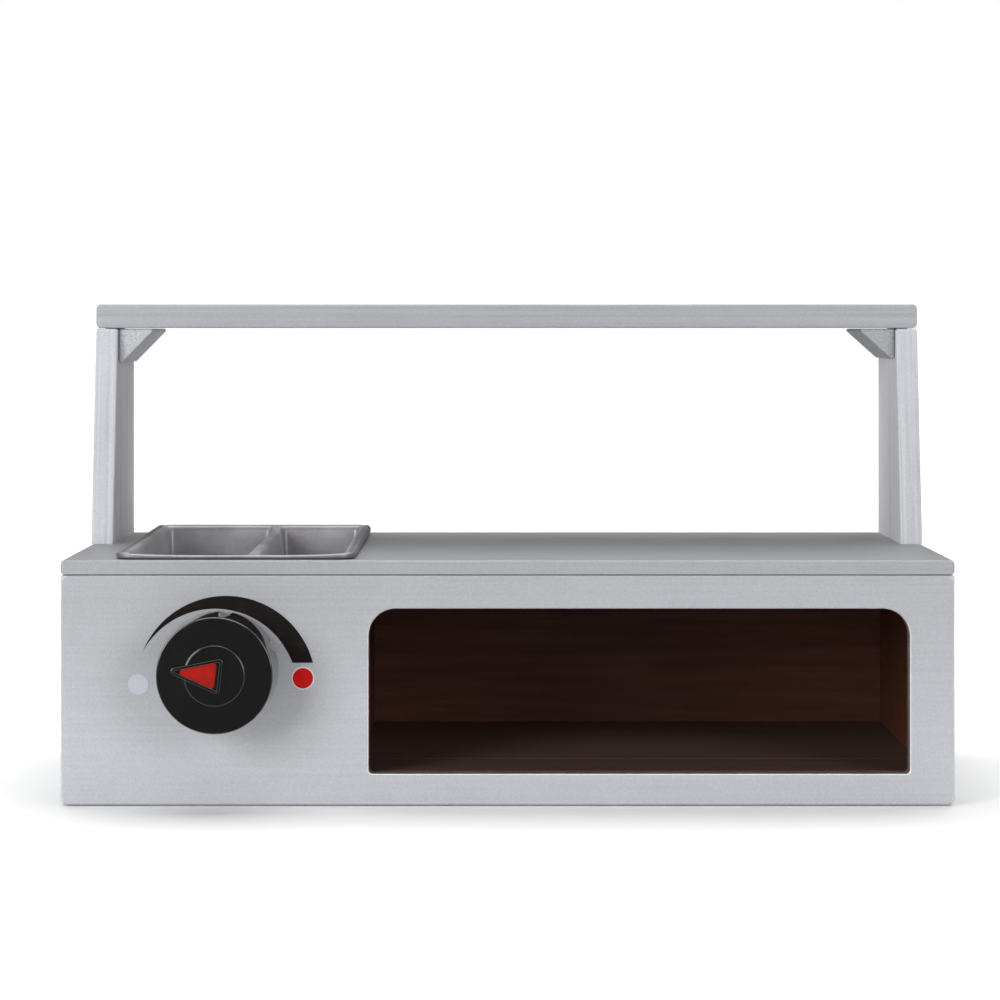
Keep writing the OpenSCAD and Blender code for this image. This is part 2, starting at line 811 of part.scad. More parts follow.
front_panel();
left_side_panel();
right_side_panel();
back_panel();
cavity_divider();
floor_board();
hearth_strip();
left_floor_cleat();
right_floor_cleat();
countertop();
left_post();
right_post();
top_shelf();
left_gusset();
right_gusset();
topping_tray();
knob_body();
knob_pointer();
detent_wheel();
wheel_washer();
wheel_screw();
dial_bush();
click_spring();
click_spring_screws();
stop_pegs();
dial_scale_print();
cool_dot_print();
hot_dot_print();
front_dowels();
counter_dowels();
post_dowels();
shelf_dowels();
back_screws();
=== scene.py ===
"""Dresses the toy oven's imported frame: painted boards, a pressed tray and a moulded dial."""

import json
import math

import bmesh
import bpy
from bpy.props import FloatProperty, FloatVectorProperty, IntProperty, PointerProperty
from bpy.types import Operator, Panel, PropertyGroup
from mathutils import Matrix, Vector


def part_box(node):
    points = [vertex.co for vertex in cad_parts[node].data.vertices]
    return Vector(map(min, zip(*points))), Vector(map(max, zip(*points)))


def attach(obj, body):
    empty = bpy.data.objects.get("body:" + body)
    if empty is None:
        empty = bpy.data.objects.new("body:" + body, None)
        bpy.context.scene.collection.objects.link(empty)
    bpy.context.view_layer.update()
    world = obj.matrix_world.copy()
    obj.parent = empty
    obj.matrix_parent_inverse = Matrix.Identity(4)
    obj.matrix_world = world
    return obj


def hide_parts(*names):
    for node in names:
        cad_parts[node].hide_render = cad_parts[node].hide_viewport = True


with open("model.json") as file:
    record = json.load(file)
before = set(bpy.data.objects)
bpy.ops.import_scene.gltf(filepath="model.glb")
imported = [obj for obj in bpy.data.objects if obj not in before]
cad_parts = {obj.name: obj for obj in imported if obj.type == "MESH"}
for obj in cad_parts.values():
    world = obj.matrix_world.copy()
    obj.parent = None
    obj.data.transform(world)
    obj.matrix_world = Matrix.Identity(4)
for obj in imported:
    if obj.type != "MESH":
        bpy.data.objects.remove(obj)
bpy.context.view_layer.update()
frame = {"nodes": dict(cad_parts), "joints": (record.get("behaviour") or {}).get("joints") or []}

bl_info = {
    "name": "Toy oven",
    "version": (1, 0, 0),
    "blender": (4, 5, 0),
    "location": "View3D > Sidebar > Toy oven",
    "description": "Dresses a silver play counter with an oven, a heat dial and a topping tray",
    "category": "Object",
}

MM = 0.001
PANEL_LOW, PANEL_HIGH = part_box("front_panel")
BACK_LOW, BACK_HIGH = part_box("back_panel")
COUNTER_LOW, COUNTER_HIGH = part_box("countertop")
SHELF_LOW, SHELF_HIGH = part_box("top_shelf")
TRAY_LOW, TRAY_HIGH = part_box("topping_tray")
DIVIDER_LOW, DIVIDER_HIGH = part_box("cavity_divider")
KNOB_LOW, KNOB_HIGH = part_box("knob_body")
RIGHT_WALL_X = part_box("right_side_panel")[0].x
OVEN_FLOOR_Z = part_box("floor_board")[1].z
BOARD_T = PANEL_HIGH.y - PANEL_LOW.y
FRONT_Y = PANEL_LOW.y
DIAL = next(joint for joint in frame["joints"] if joint["name"] == "dial_turn")
DIAL_X, DIAL_Y, DIAL_Z = DIAL["pos_m"]
FRAME_RISE = 1.2 * MM  # how far the pointer's frame stands out of the knob's face
KNOB_FACE = DIAL_Y - KNOB_LOW.y - FRAME_RISE  # the face's distance from the hinge's own place
LIP_Z = TRAY_HIGH.z - 0.5 * MM  # the tray's lip lies a little below the top of its rim
SHADOW_GAP = 0.3 * MM  # under the countertop and the shelf, whose joints show as dark lines
STUDIO = 6  # metres from the toy to the ends of the studio's sheets


# Sizes and colours that a user may change


class BoardSettings(PropertyGroup):
    """Sizes and colours of the boards"""
    edge_r: FloatProperty(
        name="Board edges", description="Rounding along the outer boards' edges",
        default=1.2 * MM, min=0.2 * MM, max=2 * MM, unit="LENGTH")
    post_edge_r: FloatProperty(
        name="Post edges", description="Rounding along the edges of the posts",
        default=1.3 * MM, min=0.1 * MM, max=2 * MM, unit="LENGTH")
    back_corner_r: FloatProperty(
        name="Back corners", description="Radius of the back panel's corners",
        default=3.5 * MM, min=1 * MM, max=8 * MM, unit="LENGTH")
    front_foot_r: FloatProperty(
        name="Front foot corners", description="Radius of the front panel's lower corners",
        default=4 * MM, min=1 * MM, max=8 * MM, unit="LENGTH")
    front_head_r: FloatProperty(
        name="Front head corners", description="Radius of the front panel's upper corners",
        default=1.5 * MM, min=0.5 * MM, max=8 * MM, unit="LENGTH")
    counter_end_r: FloatProperty(
        name="Countertop ends", description="Rounding of the countertop's ends, from the front",
        default=1.7 * MM, min=0.5 * MM, max=3 * MM, unit="LENGTH")
    shelf_end_r: FloatProperty(
        name="Shelf ends", description="Rounding of the shelf's ends, from the front",
        default=2.2 * MM, min=0.5 * MM, max=6 * MM, unit="LENGTH")
    window_reveal: FloatProperty(
        name="Window reveal", description="From the oven's left wall to the window",
        default=5 * MM, min=0, max=20 * MM, unit="LENGTH")
    window_side: FloatProperty(
        name="Window side", description="Board left to the right of the window",
        default=22.9 * MM, min=15 * MM, max=40 * MM, unit="LENGTH")
    window_top: FloatProperty(
        name="Window top", description="Board left above the window",
        default=17.1 * MM, min=12 * MM, max=40 * MM, unit="LENGTH")
    window_top_r: FloatProperty(
        name="Window top corners", description="Radius of the window's top corners",
        default=14 * MM, min=4 * MM, max=30 * MM, unit="LENGTH")
    window_bottom_r: FloatProperty(
        name="Window bottom corners", description="Radius of the window's bottom corners",
        default=2 * MM, min=0.5 * MM, max=10 * MM, unit="LENGTH")
    silver: FloatVectorProperty(
        name="Silver paint", description="Colour of the silver paint", subtype="COLOR", size=3,
        min=0, max=1, default=(0.455, 0.465, 0.493))
    brown: FloatVectorProperty(
        name="Brown paint", description="Colour of the paint inside the oven", subtype="COLOR",
        size=3, min=0, max=1, default=(0.112, 0.037, 0.022))


class TraySettings(PropertyGroup):
    """Sizes and colour of the topping tray"""
    bead_d: FloatProperty(
        name="Rim", description="Diameter of the rolled rim", default=3.4 * MM, min=2 * MM,
        max=6 * MM, unit="LENGTH")
    rim_corner_r: FloatProperty(
        name="Rim corners", description="Radius of the rim's corners", default=9 * MM,
        min=4 * MM, max=20 * MM, unit="LENGTH")
    lip_w: FloatProperty(
        name="Lip", description="From the rim's outside to the compartments' walls",
        default=7 * MM, min=5 * MM, max=14 * MM, unit="LENGTH")
    ridge_in: FloatProperty(
        name="Ridge place", description="From the rim's left side to the middle of the ridge",
        default=69.4 * MM, min=40 * MM, max=90 * MM, unit="LENGTH")
    ridge_w: FloatProperty(
        name="Ridge width", description="Between the two compartments' walls",
        default=6.6 * MM, min=6 * MM, max=14 * MM, unit="LENGTH")
    ridge_drop: FloatProperty(
        name="Ridge drop", description="How far the ridge lies below the lip",
        default=1.7 * MM, min=0, max=6 * MM, unit="LENGTH")
    sag: FloatProperty(
        name="Rim sag", description="Share of its height that the front rim has lost in its middle",
        default=0.42, min=0, max=0.6, subtype="FACTOR")
    back_rise: FloatProperty(
        name="Back rise", description="Share of its height that the rim gains towards the back",
        default=0.45, min=0, max=0.6, subtype="FACTOR")
    metal: FloatVectorProperty(
        name="Metal", description="Colour of the sheet metal", subtype="COLOR", size=3,
        min=0, max=1, default=(0.41, 0.405, 0.43))


class DialSettings(PropertyGroup):
    """Sizes and colours of the knob and its pointer"""
    flute_count: IntProperty(
        name="Flutes", description="Number of finger flutes", default=6, min=3, max=12)
    flute_r: FloatProperty(
        name="Flute radius", description="Radius of a finger flute", default=3.9 * MM,
        min=2 * MM, max=6 * MM, unit="LENGTH")
    flute_depth: FloatProperty(
        name="Flute depth", description="Depth of a finger flute", default=1.9 * MM,
        min=1 * MM, max=3 * MM, unit="LENGTH")
    taper: FloatProperty(
        name="Taper", description="How much smaller the knob's radius is at its face",
        default=0.8 * MM, min=0, max=3 * MM, unit="LENGTH")
    tilt: FloatProperty(
        name="Pointer tilt", description="How far the pointer points above level at rest",
        default=math.radians(6.5), min=0, max=math.radians(20), subtype="ANGLE")
    black: FloatVectorProperty(
        name="Black plastic", description="Colour of the knob", subtype="COLOR", size=3,
        min=0, max=1, default=(0.005, 0.005, 0.0055))
    red: FloatVectorProperty(
        name="Red plastic", description="Colour of the pointer", subtype="COLOR", size=3,
        min=0, max=1, default=(0.31, 0.007, 0.002))


# Shader expressions


class Wire:
    """The output of a shader node. Sums, products and powers of wires add their Math nodes."""

    def __init__(self, shader, socket):
        self.shader = shader
        self.socket = socket

    def maths(self, operation, *values):
        return self.shader.node("ShaderNodeMath", {"operation": operation}, dict(enumerate(values)))

    def __add__(self, other):
        return self.maths("ADD", self, other)

    def __sub__(self, other):
        return self.maths("SUBTRACT", self, other)

    def __rsub__(self, other):
        return self.maths("SUBTRACT", other, self)

    def __mul__(self, other):
        return self.maths("MULTIPLY", self, other)

    def __pow__(self, other):
        return self.maths("POWER", self, other)

    __radd__ = __add__
    __rmul__ = __mul__

    def between(self, low, high):
        """0 below low, 1 above high, and smooth in between."""
        return self.shader.node("ShaderNodeMapRange", {"interpolation_type": "SMOOTHSTEP"},
                                {"Value": self, "From Min": low, "From Max": high})


class Shader:
    """A material with one Principled BSDF, built from expressions."""

    def __init__(self, name):
        self.material = bpy.data.materials.new(name)
        self.material.use_nodes = True
        self.tree = self.material.node_tree
        self.surface = self.tree.nodes["Principled BSDF"]
        self.place = self.node("ShaderNodeTexCoord", output="Object")

    def node(self, kind, settings=None, values=None, output=0):
        """Adds a node with its settings and the values or links of its sockets."""
        made = self.tree.nodes.new(kind)
        for key, value in (settings or {}).items():
            setattr(made, key, value)
        for key, value in (values or {}).items():
            self.feed(made.inputs[key], value)
        return Wire(self, made.outputs[output])

    def feed(self, socket, value):
        if isinstance(value, Wire):
            self.tree.links.new(value.socket, socket)
        elif socket.type == "RGBA" and len(value) == 3:
            socket.default_value = (*value, 1)
        else:
            socket.default_value = value

    def set(self, **values):
        """Sets or links the surface's own sockets."""
        for key, value in values.items():
            self.feed(self.surface.inputs[key.replace("_", " ")], value)

    def mix(self, mask, first, second):
        return self.node("ShaderNodeMix", {"data_type": "RGBA"}, {0: mask, 6: first, 7: second}, 2)

    def scaled(self, factors):
        return self.node("ShaderNodeVectorMath", {"operation": "MULTIPLY"},
                         {0: self.place, 1: factors})

    def noise(self, factors, detail=2, roughness=0.5, distortion=0):
        """Noise in the object's own metres: factors are how many waves there are per metre."""
        return self.node("ShaderNodeTexNoise", values={
            "Vector": self.scaled(factors), "Scale": 1, "Detail": detail,
            "Roughness": roughness, "Distortion": distortion})

    def axis(self, name):
        return self.node("ShaderNodeSeparateXYZ", values={0: self.place}, output=name)

    def bump(self, height, distance, strength=1):
        bumped = self.node("ShaderNodeBump", values={
            "Height": height, "Distance": distance, "Strength": strength})
        self.set(Normal=bumped)


def along(axes, fine, coarse):
    """Waves per metre that are coarse along an axis, or along two, and fine across."""
    return tuple(coarse if name in axes else fine for name in "XYZ")


def grey(value):
    return (value, value, value)


def tinted(colour, factor, warm=0.0):
    """A colour made lighter or darker, and warmer or cooler."""
    red, green, blue = colour
    return (red * factor * (1 + warm), green * factor, blue * factor * (1 - warm))


def silver_paint(name, grain, light=1.0, warm=0.0, streaky=0.4, speckled=1.0):
    """Thin silver paint, brushed along the grain: the streaks of the brush and the wood show."""
    silver = bpy.context.scene.toy_oven_boards.silver
    shader = Shader(name)
    fine = shader.noise(along(grain, 1000, 12), 3, 0.6)
    broad = shader.noise(along(grain, 400, 4), 2, 0.5)
    cloud = shader.noise((22, 22, 22), 4, 0.6)
    speck = shader.noise((1500, 1500, 1500), 2, 0.7)
    marks = fine * 0.5 + broad * 0.5
    shade = marks.between(0.3, 0.7)
    brushed = shader.mix(shade, tinted(silver, light * (1 - 0.12 * streaky), warm),
                         tinted(silver, light * (1 + 0.1 * streaky), warm))
    cloudy = shader.mix(cloud.between(0.35, 0.7) * 0.5, brushed,
                        tinted(silver, light * 1.06, warm))
    pale = shader.mix(speck.between(0.5, 0.72) * (0.3 * speckled), cloudy,
                      tinted(silver, light * 1.5))
    dark = (1 - speck.between(0.3, 0.47)) * (0.24 * speckled)
    shader.set(Base_Color=shader.mix(dark, pale, tinted(silver, light * 0.55, warm)),
               Metallic=0.12, Roughness=0.56 - 0.1 * shade)
    shader.bump(marks * 0.5 + speck * 0.5, 0.05 * MM, 0.5)
    return shader


def brown_colour(shader):
    """The oven's inside: dark brown paint with cloudy, brushed variation."""
    brown = bpy.context.scene.toy_oven_boards.brown
    grain = shader.noise((9, 130, 130), 4, 0.6)
    cloud = shader.noise((14, 14, 14), 3, 0.6)
    mixed = shader.mix(grain.between(0.3, 0.75), tinted(brown, 0.72), tinted(brown, 1.3))
    return shader.mix(cloud.between(0.4, 0.7) * 0.5, mixed, tinted(brown, 0.85, 0.05))


def brown_paint(name, dust_and_light_share=0.0):
    """Satin brown paint. The floor is paler: dust and wear, and painted light for the light that
    falls on it.
    """
    dust_and_light_colour = (0.17, 0.135, 0.12)
    shader = Shader(name)
    shader.set(Base_Color=shader.mix(dust_and_light_share, brown_colour(shader), dust_and_light_colour), Roughness=0.55,
               Specular_IOR_Level=0.3)
    fibre = shader.noise(along("X", 900, 40), 3)
    shader.bump(fibre, 0.06 * MM, 0.4)
    return shader.material


def panel_paint():
    """Silver outside, with painted shade towards the top. The window's edge and the oven's side are
    brown.
    """
    shader = silver_paint("silver_front", "X", 1.09)
    wobble = shader.noise((90, 90, 90), 3)
    depth = shader.axis("Y") - wobble * (1.6 * MM)
    behind = depth.between(FRONT_Y + 0.2 * MM, FRONT_Y + 0.8 * MM)
    deep = shader.axis("Y").between(PANEL_HIGH.y - 0.9 * MM, PANEL_HIGH.y - 0.5 * MM)
    cut_edge = shader.mix(wobble.between(0.35, 0.65), (0.17, 0.135, 0.125), (0.23, 0.19, 0.18))
    side = shader.axis("X").between(DIVIDER_HIGH.x, DIVIDER_HIGH.x + 0.4 * MM)
    other_side = 1 - shader.axis("X").between(RIGHT_WALL_X - 0.4 * MM, RIGHT_WALL_X)
    above = shader.axis("Z").between(OVEN_FLOOR_Z - 0.9 * MM, OVEN_FLOOR_Z - 0.5 * MM)
    below = 1 - shader.axis("Z").between(PANEL_HIGH.z - 6 * MM, PANEL_HIGH.z - 5.5 * MM)
    inside = behind * side * other_side * above * below
    height = shader.axis("Z").between(PANEL_LOW.z, PANEL_HIGH.z)
    silver = Wire(shader, shader.surface.inputs["Base Color"].links[0].from_socket)
    # Painted shade: the silver is mixed towards black, by up to 18 % at the top of the board
    painted_shade_to_top = shader.mix(height * 0.18, silver, grey(0))
    lining = shader.mix(deep, cut_edge, brown_colour(shader))
    shader.set(Base_Color=shader.mix(inside, painted_shade_to_top, lining), Metallic=0.12 - 0.12 * inside)
    return shader.material


def bare_wood(name):
    """Planed pale wood with rings and fibres along it."""
    shader = Shader(name)
    ring = shader.noise(along("Y", 160, 6), 4, 0.6, 0.4)
    fibre = shader.noise(along("Y", 2400, 60), 2)
    colour = shader.mix(ring.between(0.35, 0.7), (0.60, 0.43, 0.25), (0.74, 0.58, 0.37))
    shader.set(Base_Color=shader.mix(fibre.between(0.5, 0.8) * 0.4, colour, (0.48, 0.33, 0.18)),
               Roughness=0.62)
    shader.bump(fibre, 0.08 * MM, 0.5)
    return shader.material


def tray_metal(name, light, metallic):
    """Pressed sheet, scratched every way by washing up."""
    metal = tinted(bpy.context.scene.toy_oven_tray.metal, light)
    shader = Shader(name)
    scratches = shader.noise((1500, 60, 900), 3, 0.65, 0.6)
    cross = shader.noise((110, 1300, 700), 3, 0.65, 0.5)
    smudge = shader.noise((30, 30, 30), 4, 0.6)
    wear = scratches.between(0.52, 0.72) * 0.6 + cross.between(0.56, 0.74) * 0.4
    dull = shader.mix(smudge.between(0.3, 0.7), tinted(metal, 0.74, 0.02), tinted(metal, 1.05))
    shader.set(Base_Color=shader.mix(wear * 0.6, dull, tinted(metal, 1.35)), Metallic=metallic,
               Roughness=0.33 + 0.16 * smudge + 0.12 * wear)
    shader.bump(scratches * 0.5 + cross * 0.5, 0.06 * MM, 0.6)
    return shader.material


def black_plastic():
    """Glossy moulding with faint sink marks and fine handling scratches."""
    black = bpy.context.scene.toy_oven_dial.black
    shader = Shader("black_plastic")
    flow = shader.noise((45, 45, 45), 2)
    hair = shader.noise((800, 90, 1100), 2, 0.6, 0.4)
    shader.set(Base_Color=shader.mix(flow.between(0.4, 0.7) * 0.5, black, tinted(black, 1.7, 0.04)),
               Roughness=0.1 + 0.03 * hair.between(0.5, 0.8) + 0.04 * flow,
               Coat_Weight=0.6, Coat_Roughness=0.03)
    shader.bump(flow, 0.1 * MM, 0.3)
    return shader.material


def red_plastic():
    """Satin moulding with a fine grain."""
    red = bpy.context.scene.toy_oven_dial.red
    shader = Shader("red_plastic")
    grain = shader.noise((900, 900, 900), 3, 0.6)
    patch = shader.noise((160, 160, 160), 3, 0.6)
    mottled = shader.mix(patch.between(0.35, 0.7), tinted(red, 0.86), tinted(red, 1.12))
    shader.set(Base_Color=mottled, Roughness=0.5 + 0.12 * grain, Specular_IOR_Level=0.12)
    shader.bump(grain, 0.05 * MM, 0.5)
    return shader.material


def white_nylon():
    """Matt moulding that flowed a little unevenly."""
    white = (0.74, 0.74, 0.70)
    shader = Shader("white_nylon")
    flow = shader.noise((60, 60, 60), 3)
    grain = shader.noise((1400, 1400, 1400), 2)
    shader.set(Base_Color=shader.mix(flow, tinted(white, 0.92), tinted(white, 1.05)),
               Roughness=0.42 + 0.1 * grain)
    shader.bump(grain, 0.03 * MM, 0.4)
    return shader.material


def zinc_steel():
    """Zinc plating with its crystals and fine scratches."""
    shader = Shader("zinc_steel")
    crystal = shader.noise((420, 420, 420), 3, 0.6)
    hair = shader.noise(along("Y", 1800, 200), 2)
    shader.set(Base_Color=shader.mix(crystal, (0.50, 0.51, 0.53), (0.68, 0.68, 0.66)),
               Metallic=0.95, Roughness=0.3 + 0.18 * crystal)
    shader.bump(hair, 0.03 * MM, 0.4)
    return shader.material


def ink(name, colour, brushed):
    """Screen print on brushed paint: the streaks under it show through as pale scratches."""
    silver = bpy.context.scene.toy_oven_boards.silver
    shader = Shader(name)
    fine = shader.noise(along("X", 2600, 40), 3, 0.6)
    patch = shader.noise((120, 120, 120), 2)
    scratch = (fine + patch * 0.25).between(0.66, 0.86) * brushed
    shader.set(Base_Color=shader.mix(scratch, colour, tinted(silver, 0.8)),
               Roughness=0.45 + 0.15 * fine, Specular_IOR_Level=0.12)
    shader.bump(fine, 0.04 * MM, 0.4)
    return shader.material


# Meshes


def quarter(steps):
    """Angles from 0 to a right angle."""
    return [math.pi / 2 * step / steps for step in range(steps + 1)]


def rounded(corners, radii, inset=0.0, arc=8, sides=1):
    """Points round a polygon with round corners, anticlockwise, moved inwards by inset.

    An arc has arc steps, and a straight side is cut into as many parts as sides says.
    """
    least_r = 0.01 * MM
    lines = []
    for first, second in zip(corners, corners[1:] + corners[:1]):
        heading = (Vector(second) - Vector(first)).normalized()
        lines.append((Vector(first) + Vector((-heading.y, heading.x)) * inset, heading))
    arcs = []
    for full_r, (on, into), (then, away) in zip(radii, lines[-1:] + lines[:-1], lines):
        cross = into.x * away.y - into.y * away.x
        corner = on + into * (((then.x - on.x) * away.y - (then.y - on.y) * away.x) / cross)
        radius = max(full_r - inset, least_r)
        turn = math.atan2(cross, into.dot(away))
        centre = corner - into * (radius * math.tan(turn / 2)) + Vector((-into.y, into.x)) * radius
        start = math.atan2(-into.x, into.y)
        angles = [start + turn * step / arc for step in range(arc + 1)]
        arcs.append([centre + radius * Vector((math.cos(a), math.sin(a))) for a in angles])
    points = []
    for bend, following in zip(arcs, arcs[1:] + arcs[:1]):
        points += bend
        points += [bend[-1].lerp(following[0], step / sides) for step in range(1, sides)]
    return points


def rectangle(low, high):
    """Corners from the lower left, anticlockwise."""
    return [(low[0], low[1]), (high[0], low[1]), (high[0], high[1]), (low[0], high[1])]


def ring(centre, radius, inset=0.0, count=64):
    """Points round a circle, moved inwards by inset."""
    turns = [2 * math.pi * step / count for step in range(count)]
    return [Vector(centre) + (radius - inset) * Vector((math.cos(t), math.sin(t))) for t in turns]


def joined(mesh, loops, closed=False):
    """Faces between loops of the same number of points."""
    pairs = list(zip(loops, loops[1:]))
    if closed:
        pairs.append((loops[-1], loops[0]))
    for lower, upper in pairs:
        for index in range(len(lower)):
            after = (index + 1) % len(lower)
            mesh.faces.new((lower[index], lower[after], upper[after], upper[index]))


def solid(mesh, loops):
    """Faces between loops, and over the first and the last."""
    joined(mesh, loops)
    mesh.faces.new(loops[0])
    mesh.faces.new(loops[-1])


def loop_of(mesh, points, height, turned):
    return [mesh.verts.new(turned(x, y, height)) for x, y in points]


def rim_edges(mesh, loop):
    return [mesh.edges.get(pair) for pair in zip(loop, loop[1:] + loop[:1])]


def arris(radius, flat=0.0):
    """(height, inset) round a board's lower arris, with rows on its flat face."""
    rows = [(0, radius + flat * row / 4) for row in (4, 3, 2, 1)] if flat else []
    return rows + [(radius * (1 - math.cos(t)), radius * (1 - math.sin(t))) for t in quarter(4)]


def eased(depth, radius, flat=0.0, lower=None):
    """(height, inset) up a board's edge, with both arrises rounded, the lower one as lower says."""
    upper = [(depth - height, inset) for height, inset in reversed(arris(radius, flat))]
    return arris(lower or radius, flat) + upper


def over(soft, top, steps):
    """(inset, height) up a moulding's side and over its edge, to a flat top."""
    return [(soft * (1 - math.cos(t)), top - soft + soft * math.sin(t)) for t in quarter(steps)]


def rounded_ends(mesh, low, high, radius):
    """Rounds the ends of a board that lies flat, as seen from the front."""
    centre, half = (low + high) / 2, (high - low) / 2
    for vertex in mesh.verts:
        past = abs(vertex.co.x - centre.x) - half.x + radius
        if past > 0:
            rise = half.z - radius + math.sqrt(max(radius ** 2 - past ** 2, 0))
            vertex.co.z = centre.z + (vertex.co.z - centre.z) * rise / half.z


def lined(made, material, axis, sign):
    """Gives the faces that look one way another material."""
    straight = 0.9
    made.data.materials.append(material)
    slot = len(made.data.materials) - 1
    for face in made.data.polygons:
        if face.normal["XYZ".index(axis)] * sign > straight:
            face.material_index = slot


def paint_arris_highlight(made, axis=None, light=1.2, gloss=None, where=None):
    """Paints highlights on the rounded arrises: they get a lighter copy of the first material,
    except those that face down into shade.

    With an axis, all that is oblique to that axis gets it. gloss, if given, is the roughness of
    those arrises, and where picks faces by their middle.
    """
    flat, upright, below = 0.96, 0.2, -0.3
    finish = made.data.materials[0].copy()
    finish.name = f"{finish.name}_worn"
    for node in finish.node_tree.nodes:
        if node.bl_idname == "ShaderNodeMix":
            for colour in (node.inputs[6], node.inputs[7]):
                if not colour.is_linked:
                    colour.default_value = [min(light * value, 1) for value in colour.default_value]
        if gloss and node.bl_idname == "ShaderNodeBsdfPrincipled":
            for link in list(node.inputs["Roughness"].links):
                finish.node_tree.links.remove(link)
            node.inputs["Roughness"].default_value = gloss
    made.data.materials.append(finish)
    slot = len(made.data.materials) - 1
    for face in made.data.polygons:
        slopes = [abs(value) for value in face.normal]
        oblique = upright < (slopes["XYZ".index(axis)] if axis else max(slopes)) < flat
        if oblique and (axis or face.normal.z > below) and (not where or where(face.center)):
            face.material_index = slot


def plate(rims, turned):
    """A board: each rim is an outline, as a function of inset, with its (height, inset) profile.

    The first rim goes round the board and the others round its holes.
    """
    mesh = bmesh.new()
    ends = ([], [])
    for outline, profile in rims:
        loops = [loop_of(mesh, outline(inset), height, turned) for height, inset in profile]
        joined(mesh, loops)
        for edges, loop in zip(ends, (loops[0], loops[-1])):
            edges += rim_edges(mesh, loop)
    for edges in ends:
        bmesh.ops.triangle_fill(mesh, use_beauty=True, edges=edges)
    return mesh


def across_y(start):
    """A board that stands facing the front: its outline is X and Z, its thickness Y."""
    return lambda u, v, w: (u, start + w, v)


def across_x(start):
    """A board that stands facing the side: its outline is Y and Z, its thickness X."""
    return lambda u, v, w: (start + w, u, v)


def across_z(start):
    """A board that lies flat: its outline is X and Y, its thickness Z."""
    return lambda u, v, w: (u, v, start + w)


def piece(name, mesh, body, slot, nodes, *materials, sharp=34):
    """Makes a mesh into a piece that rides on a body and stands for those nodes.

    Edges sharper than that many degrees stay crisp.
    """
    bmesh.ops.remove_doubles(mesh, verts=mesh.verts, dist=0.002 * MM)
    bmesh.ops.recalc_face_normals(mesh, faces=mesh.faces)
    data = bpy.data.meshes.new(name)
    mesh.to_mesh(data)
    mesh.free()
    data.shade_smooth()
    data.set_sharp_from_angle(angle=math.radians(sharp))
    made = bpy.data.objects.new(name, data)
    bpy.context.scene.collection.objects.link(made)
    for material in materials:
        data.materials.append(material)
    weighted = made.modifiers.new("flat_faces", "WEIGHTED_NORMAL")
    weighted.keep_sharp = True
    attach(made, body)
    if nodes:
        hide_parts(*nodes)
    return made


def silver_board(name, mesh, node, paint):
    return piece(name, mesh, "oven", "silver_board", [node], paint)


def finished(node, material):
    """Gives a node that keeps its own mesh a material."""
    materials = frame["nodes"][node].data.materials
    materials.clear()
    materials.append(material)


def softened(node, width):
    """A copy of a node's mesh, with its flat faces made whole and its edges rounded."""
    flat_angle, hard_angle = math.radians(1), math.radians(40)
    mesh = bmesh.new()
    mesh.from_mesh(frame["nodes"][node].data)
    bmesh.ops.remove_doubles(mesh, verts=mesh.verts, dist=0.001 * MM)
    bmesh.ops.dissolve_limit(mesh, angle_limit=flat_angle, verts=mesh.verts, edges=mesh.edges)
    hard = [edge for edge in mesh.edges
            if len(edge.link_faces) == 2 and edge.calc_face_angle() > hard_angle]
    bmesh.ops.bevel(mesh, geom=hard, offset=width, offset_type="OFFSET", segments=2,
                    profile=0.5, affect="EDGES", clamp_overlap=True)
    return mesh


def box_board(name, node, axis, edge_r, material, slot):
    """A plain board across X or Z, with round edges and corners, that fills its node's box."""
    low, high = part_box(node)
    first, second, turned = {"X": (1, 2, across_x), "Z": (0, 1, across_z)}[axis]
    third = "XYZ".index(axis)
    corners = rectangle((low[first], low[second]), (high[first], high[second]))

    def outline(inset):
        return rounded(corners, [edge_r] * 4, inset)

    mesh = plate([(outline, eased(high[third] - low[third], edge_r))], turned(low[third]))
    return piece(name, mesh, "oven", slot, [node], material)


# Operators, one for each piece or group of like pieces


class TOYOVEN_OT_front_panel(Operator):
    """Build the front panel with its window and the hole for the dial"""
    bl_idname = "toyoven.front_panel"
    bl_label = "Front panel"

    def execute(self, context):
        sizes = context.scene.toy_oven_boards
        foot_gap, dial_hole_r, window_edge_r = 0.5 * MM, 8.05 * MM, 0.8 * MM
        left, foot = DIVIDER_HIGH.x + sizes.window_reveal, OVEN_FLOOR_Z
        right, head = PANEL_HIGH.x - sizes.window_side, PANEL_HIGH.z - sizes.window_top
        outer = rectangle((PANEL_LOW.x, PANEL_LOW.z + foot_gap), (PANEL_HIGH.x, PANEL_HIGH.z))
        window_radii = [sizes.window_bottom_r] * 2 + [sizes.window_top_r] * 2

        def board(inset):
            """The upper corners grow rounder towards the board's faces."""
            radii = [sizes.front_foot_r + inset] * 2 + [sizes.front_head_r + 3.1 * inset] * 2
            return rounded(outer, radii, inset)

        def opening(inset):
            return rounded(rectangle((left, foot), (right, head)), window_radii, -inset, arc=12)

        def bore(inset):
            return ring((DIAL_X, DIAL_Z), dial_hole_r, -inset)

        def round_window(middle):
            """Whether this is on the window's front arris."""
            reach = 1.2 * MM
            return (left - reach < middle.x < right + reach and middle.y < FRONT_Y + reach
                    and foot - reach < middle.z < head + reach)

        rims = [(board, eased(BOARD_T, sizes.edge_r)), (opening, eased(BOARD_T, window_edge_r)),
                (bore, [(0, 0), (BOARD_T, 0)])]
        mesh = plate(rims, across_y(FRONT_Y))
        made = silver_board("front_panel_board", mesh, "front_panel", panel_paint())
        # Painted highlights: the arrises get a lighter copy of the silver, and the window's front
        # arris a much lighter and glossier one
        paint_arris_highlight(made, light=1.3)
        paint_arris_highlight(made, light=2.2, gloss=0.28, where=round_window)
        return {"FINISHED"}


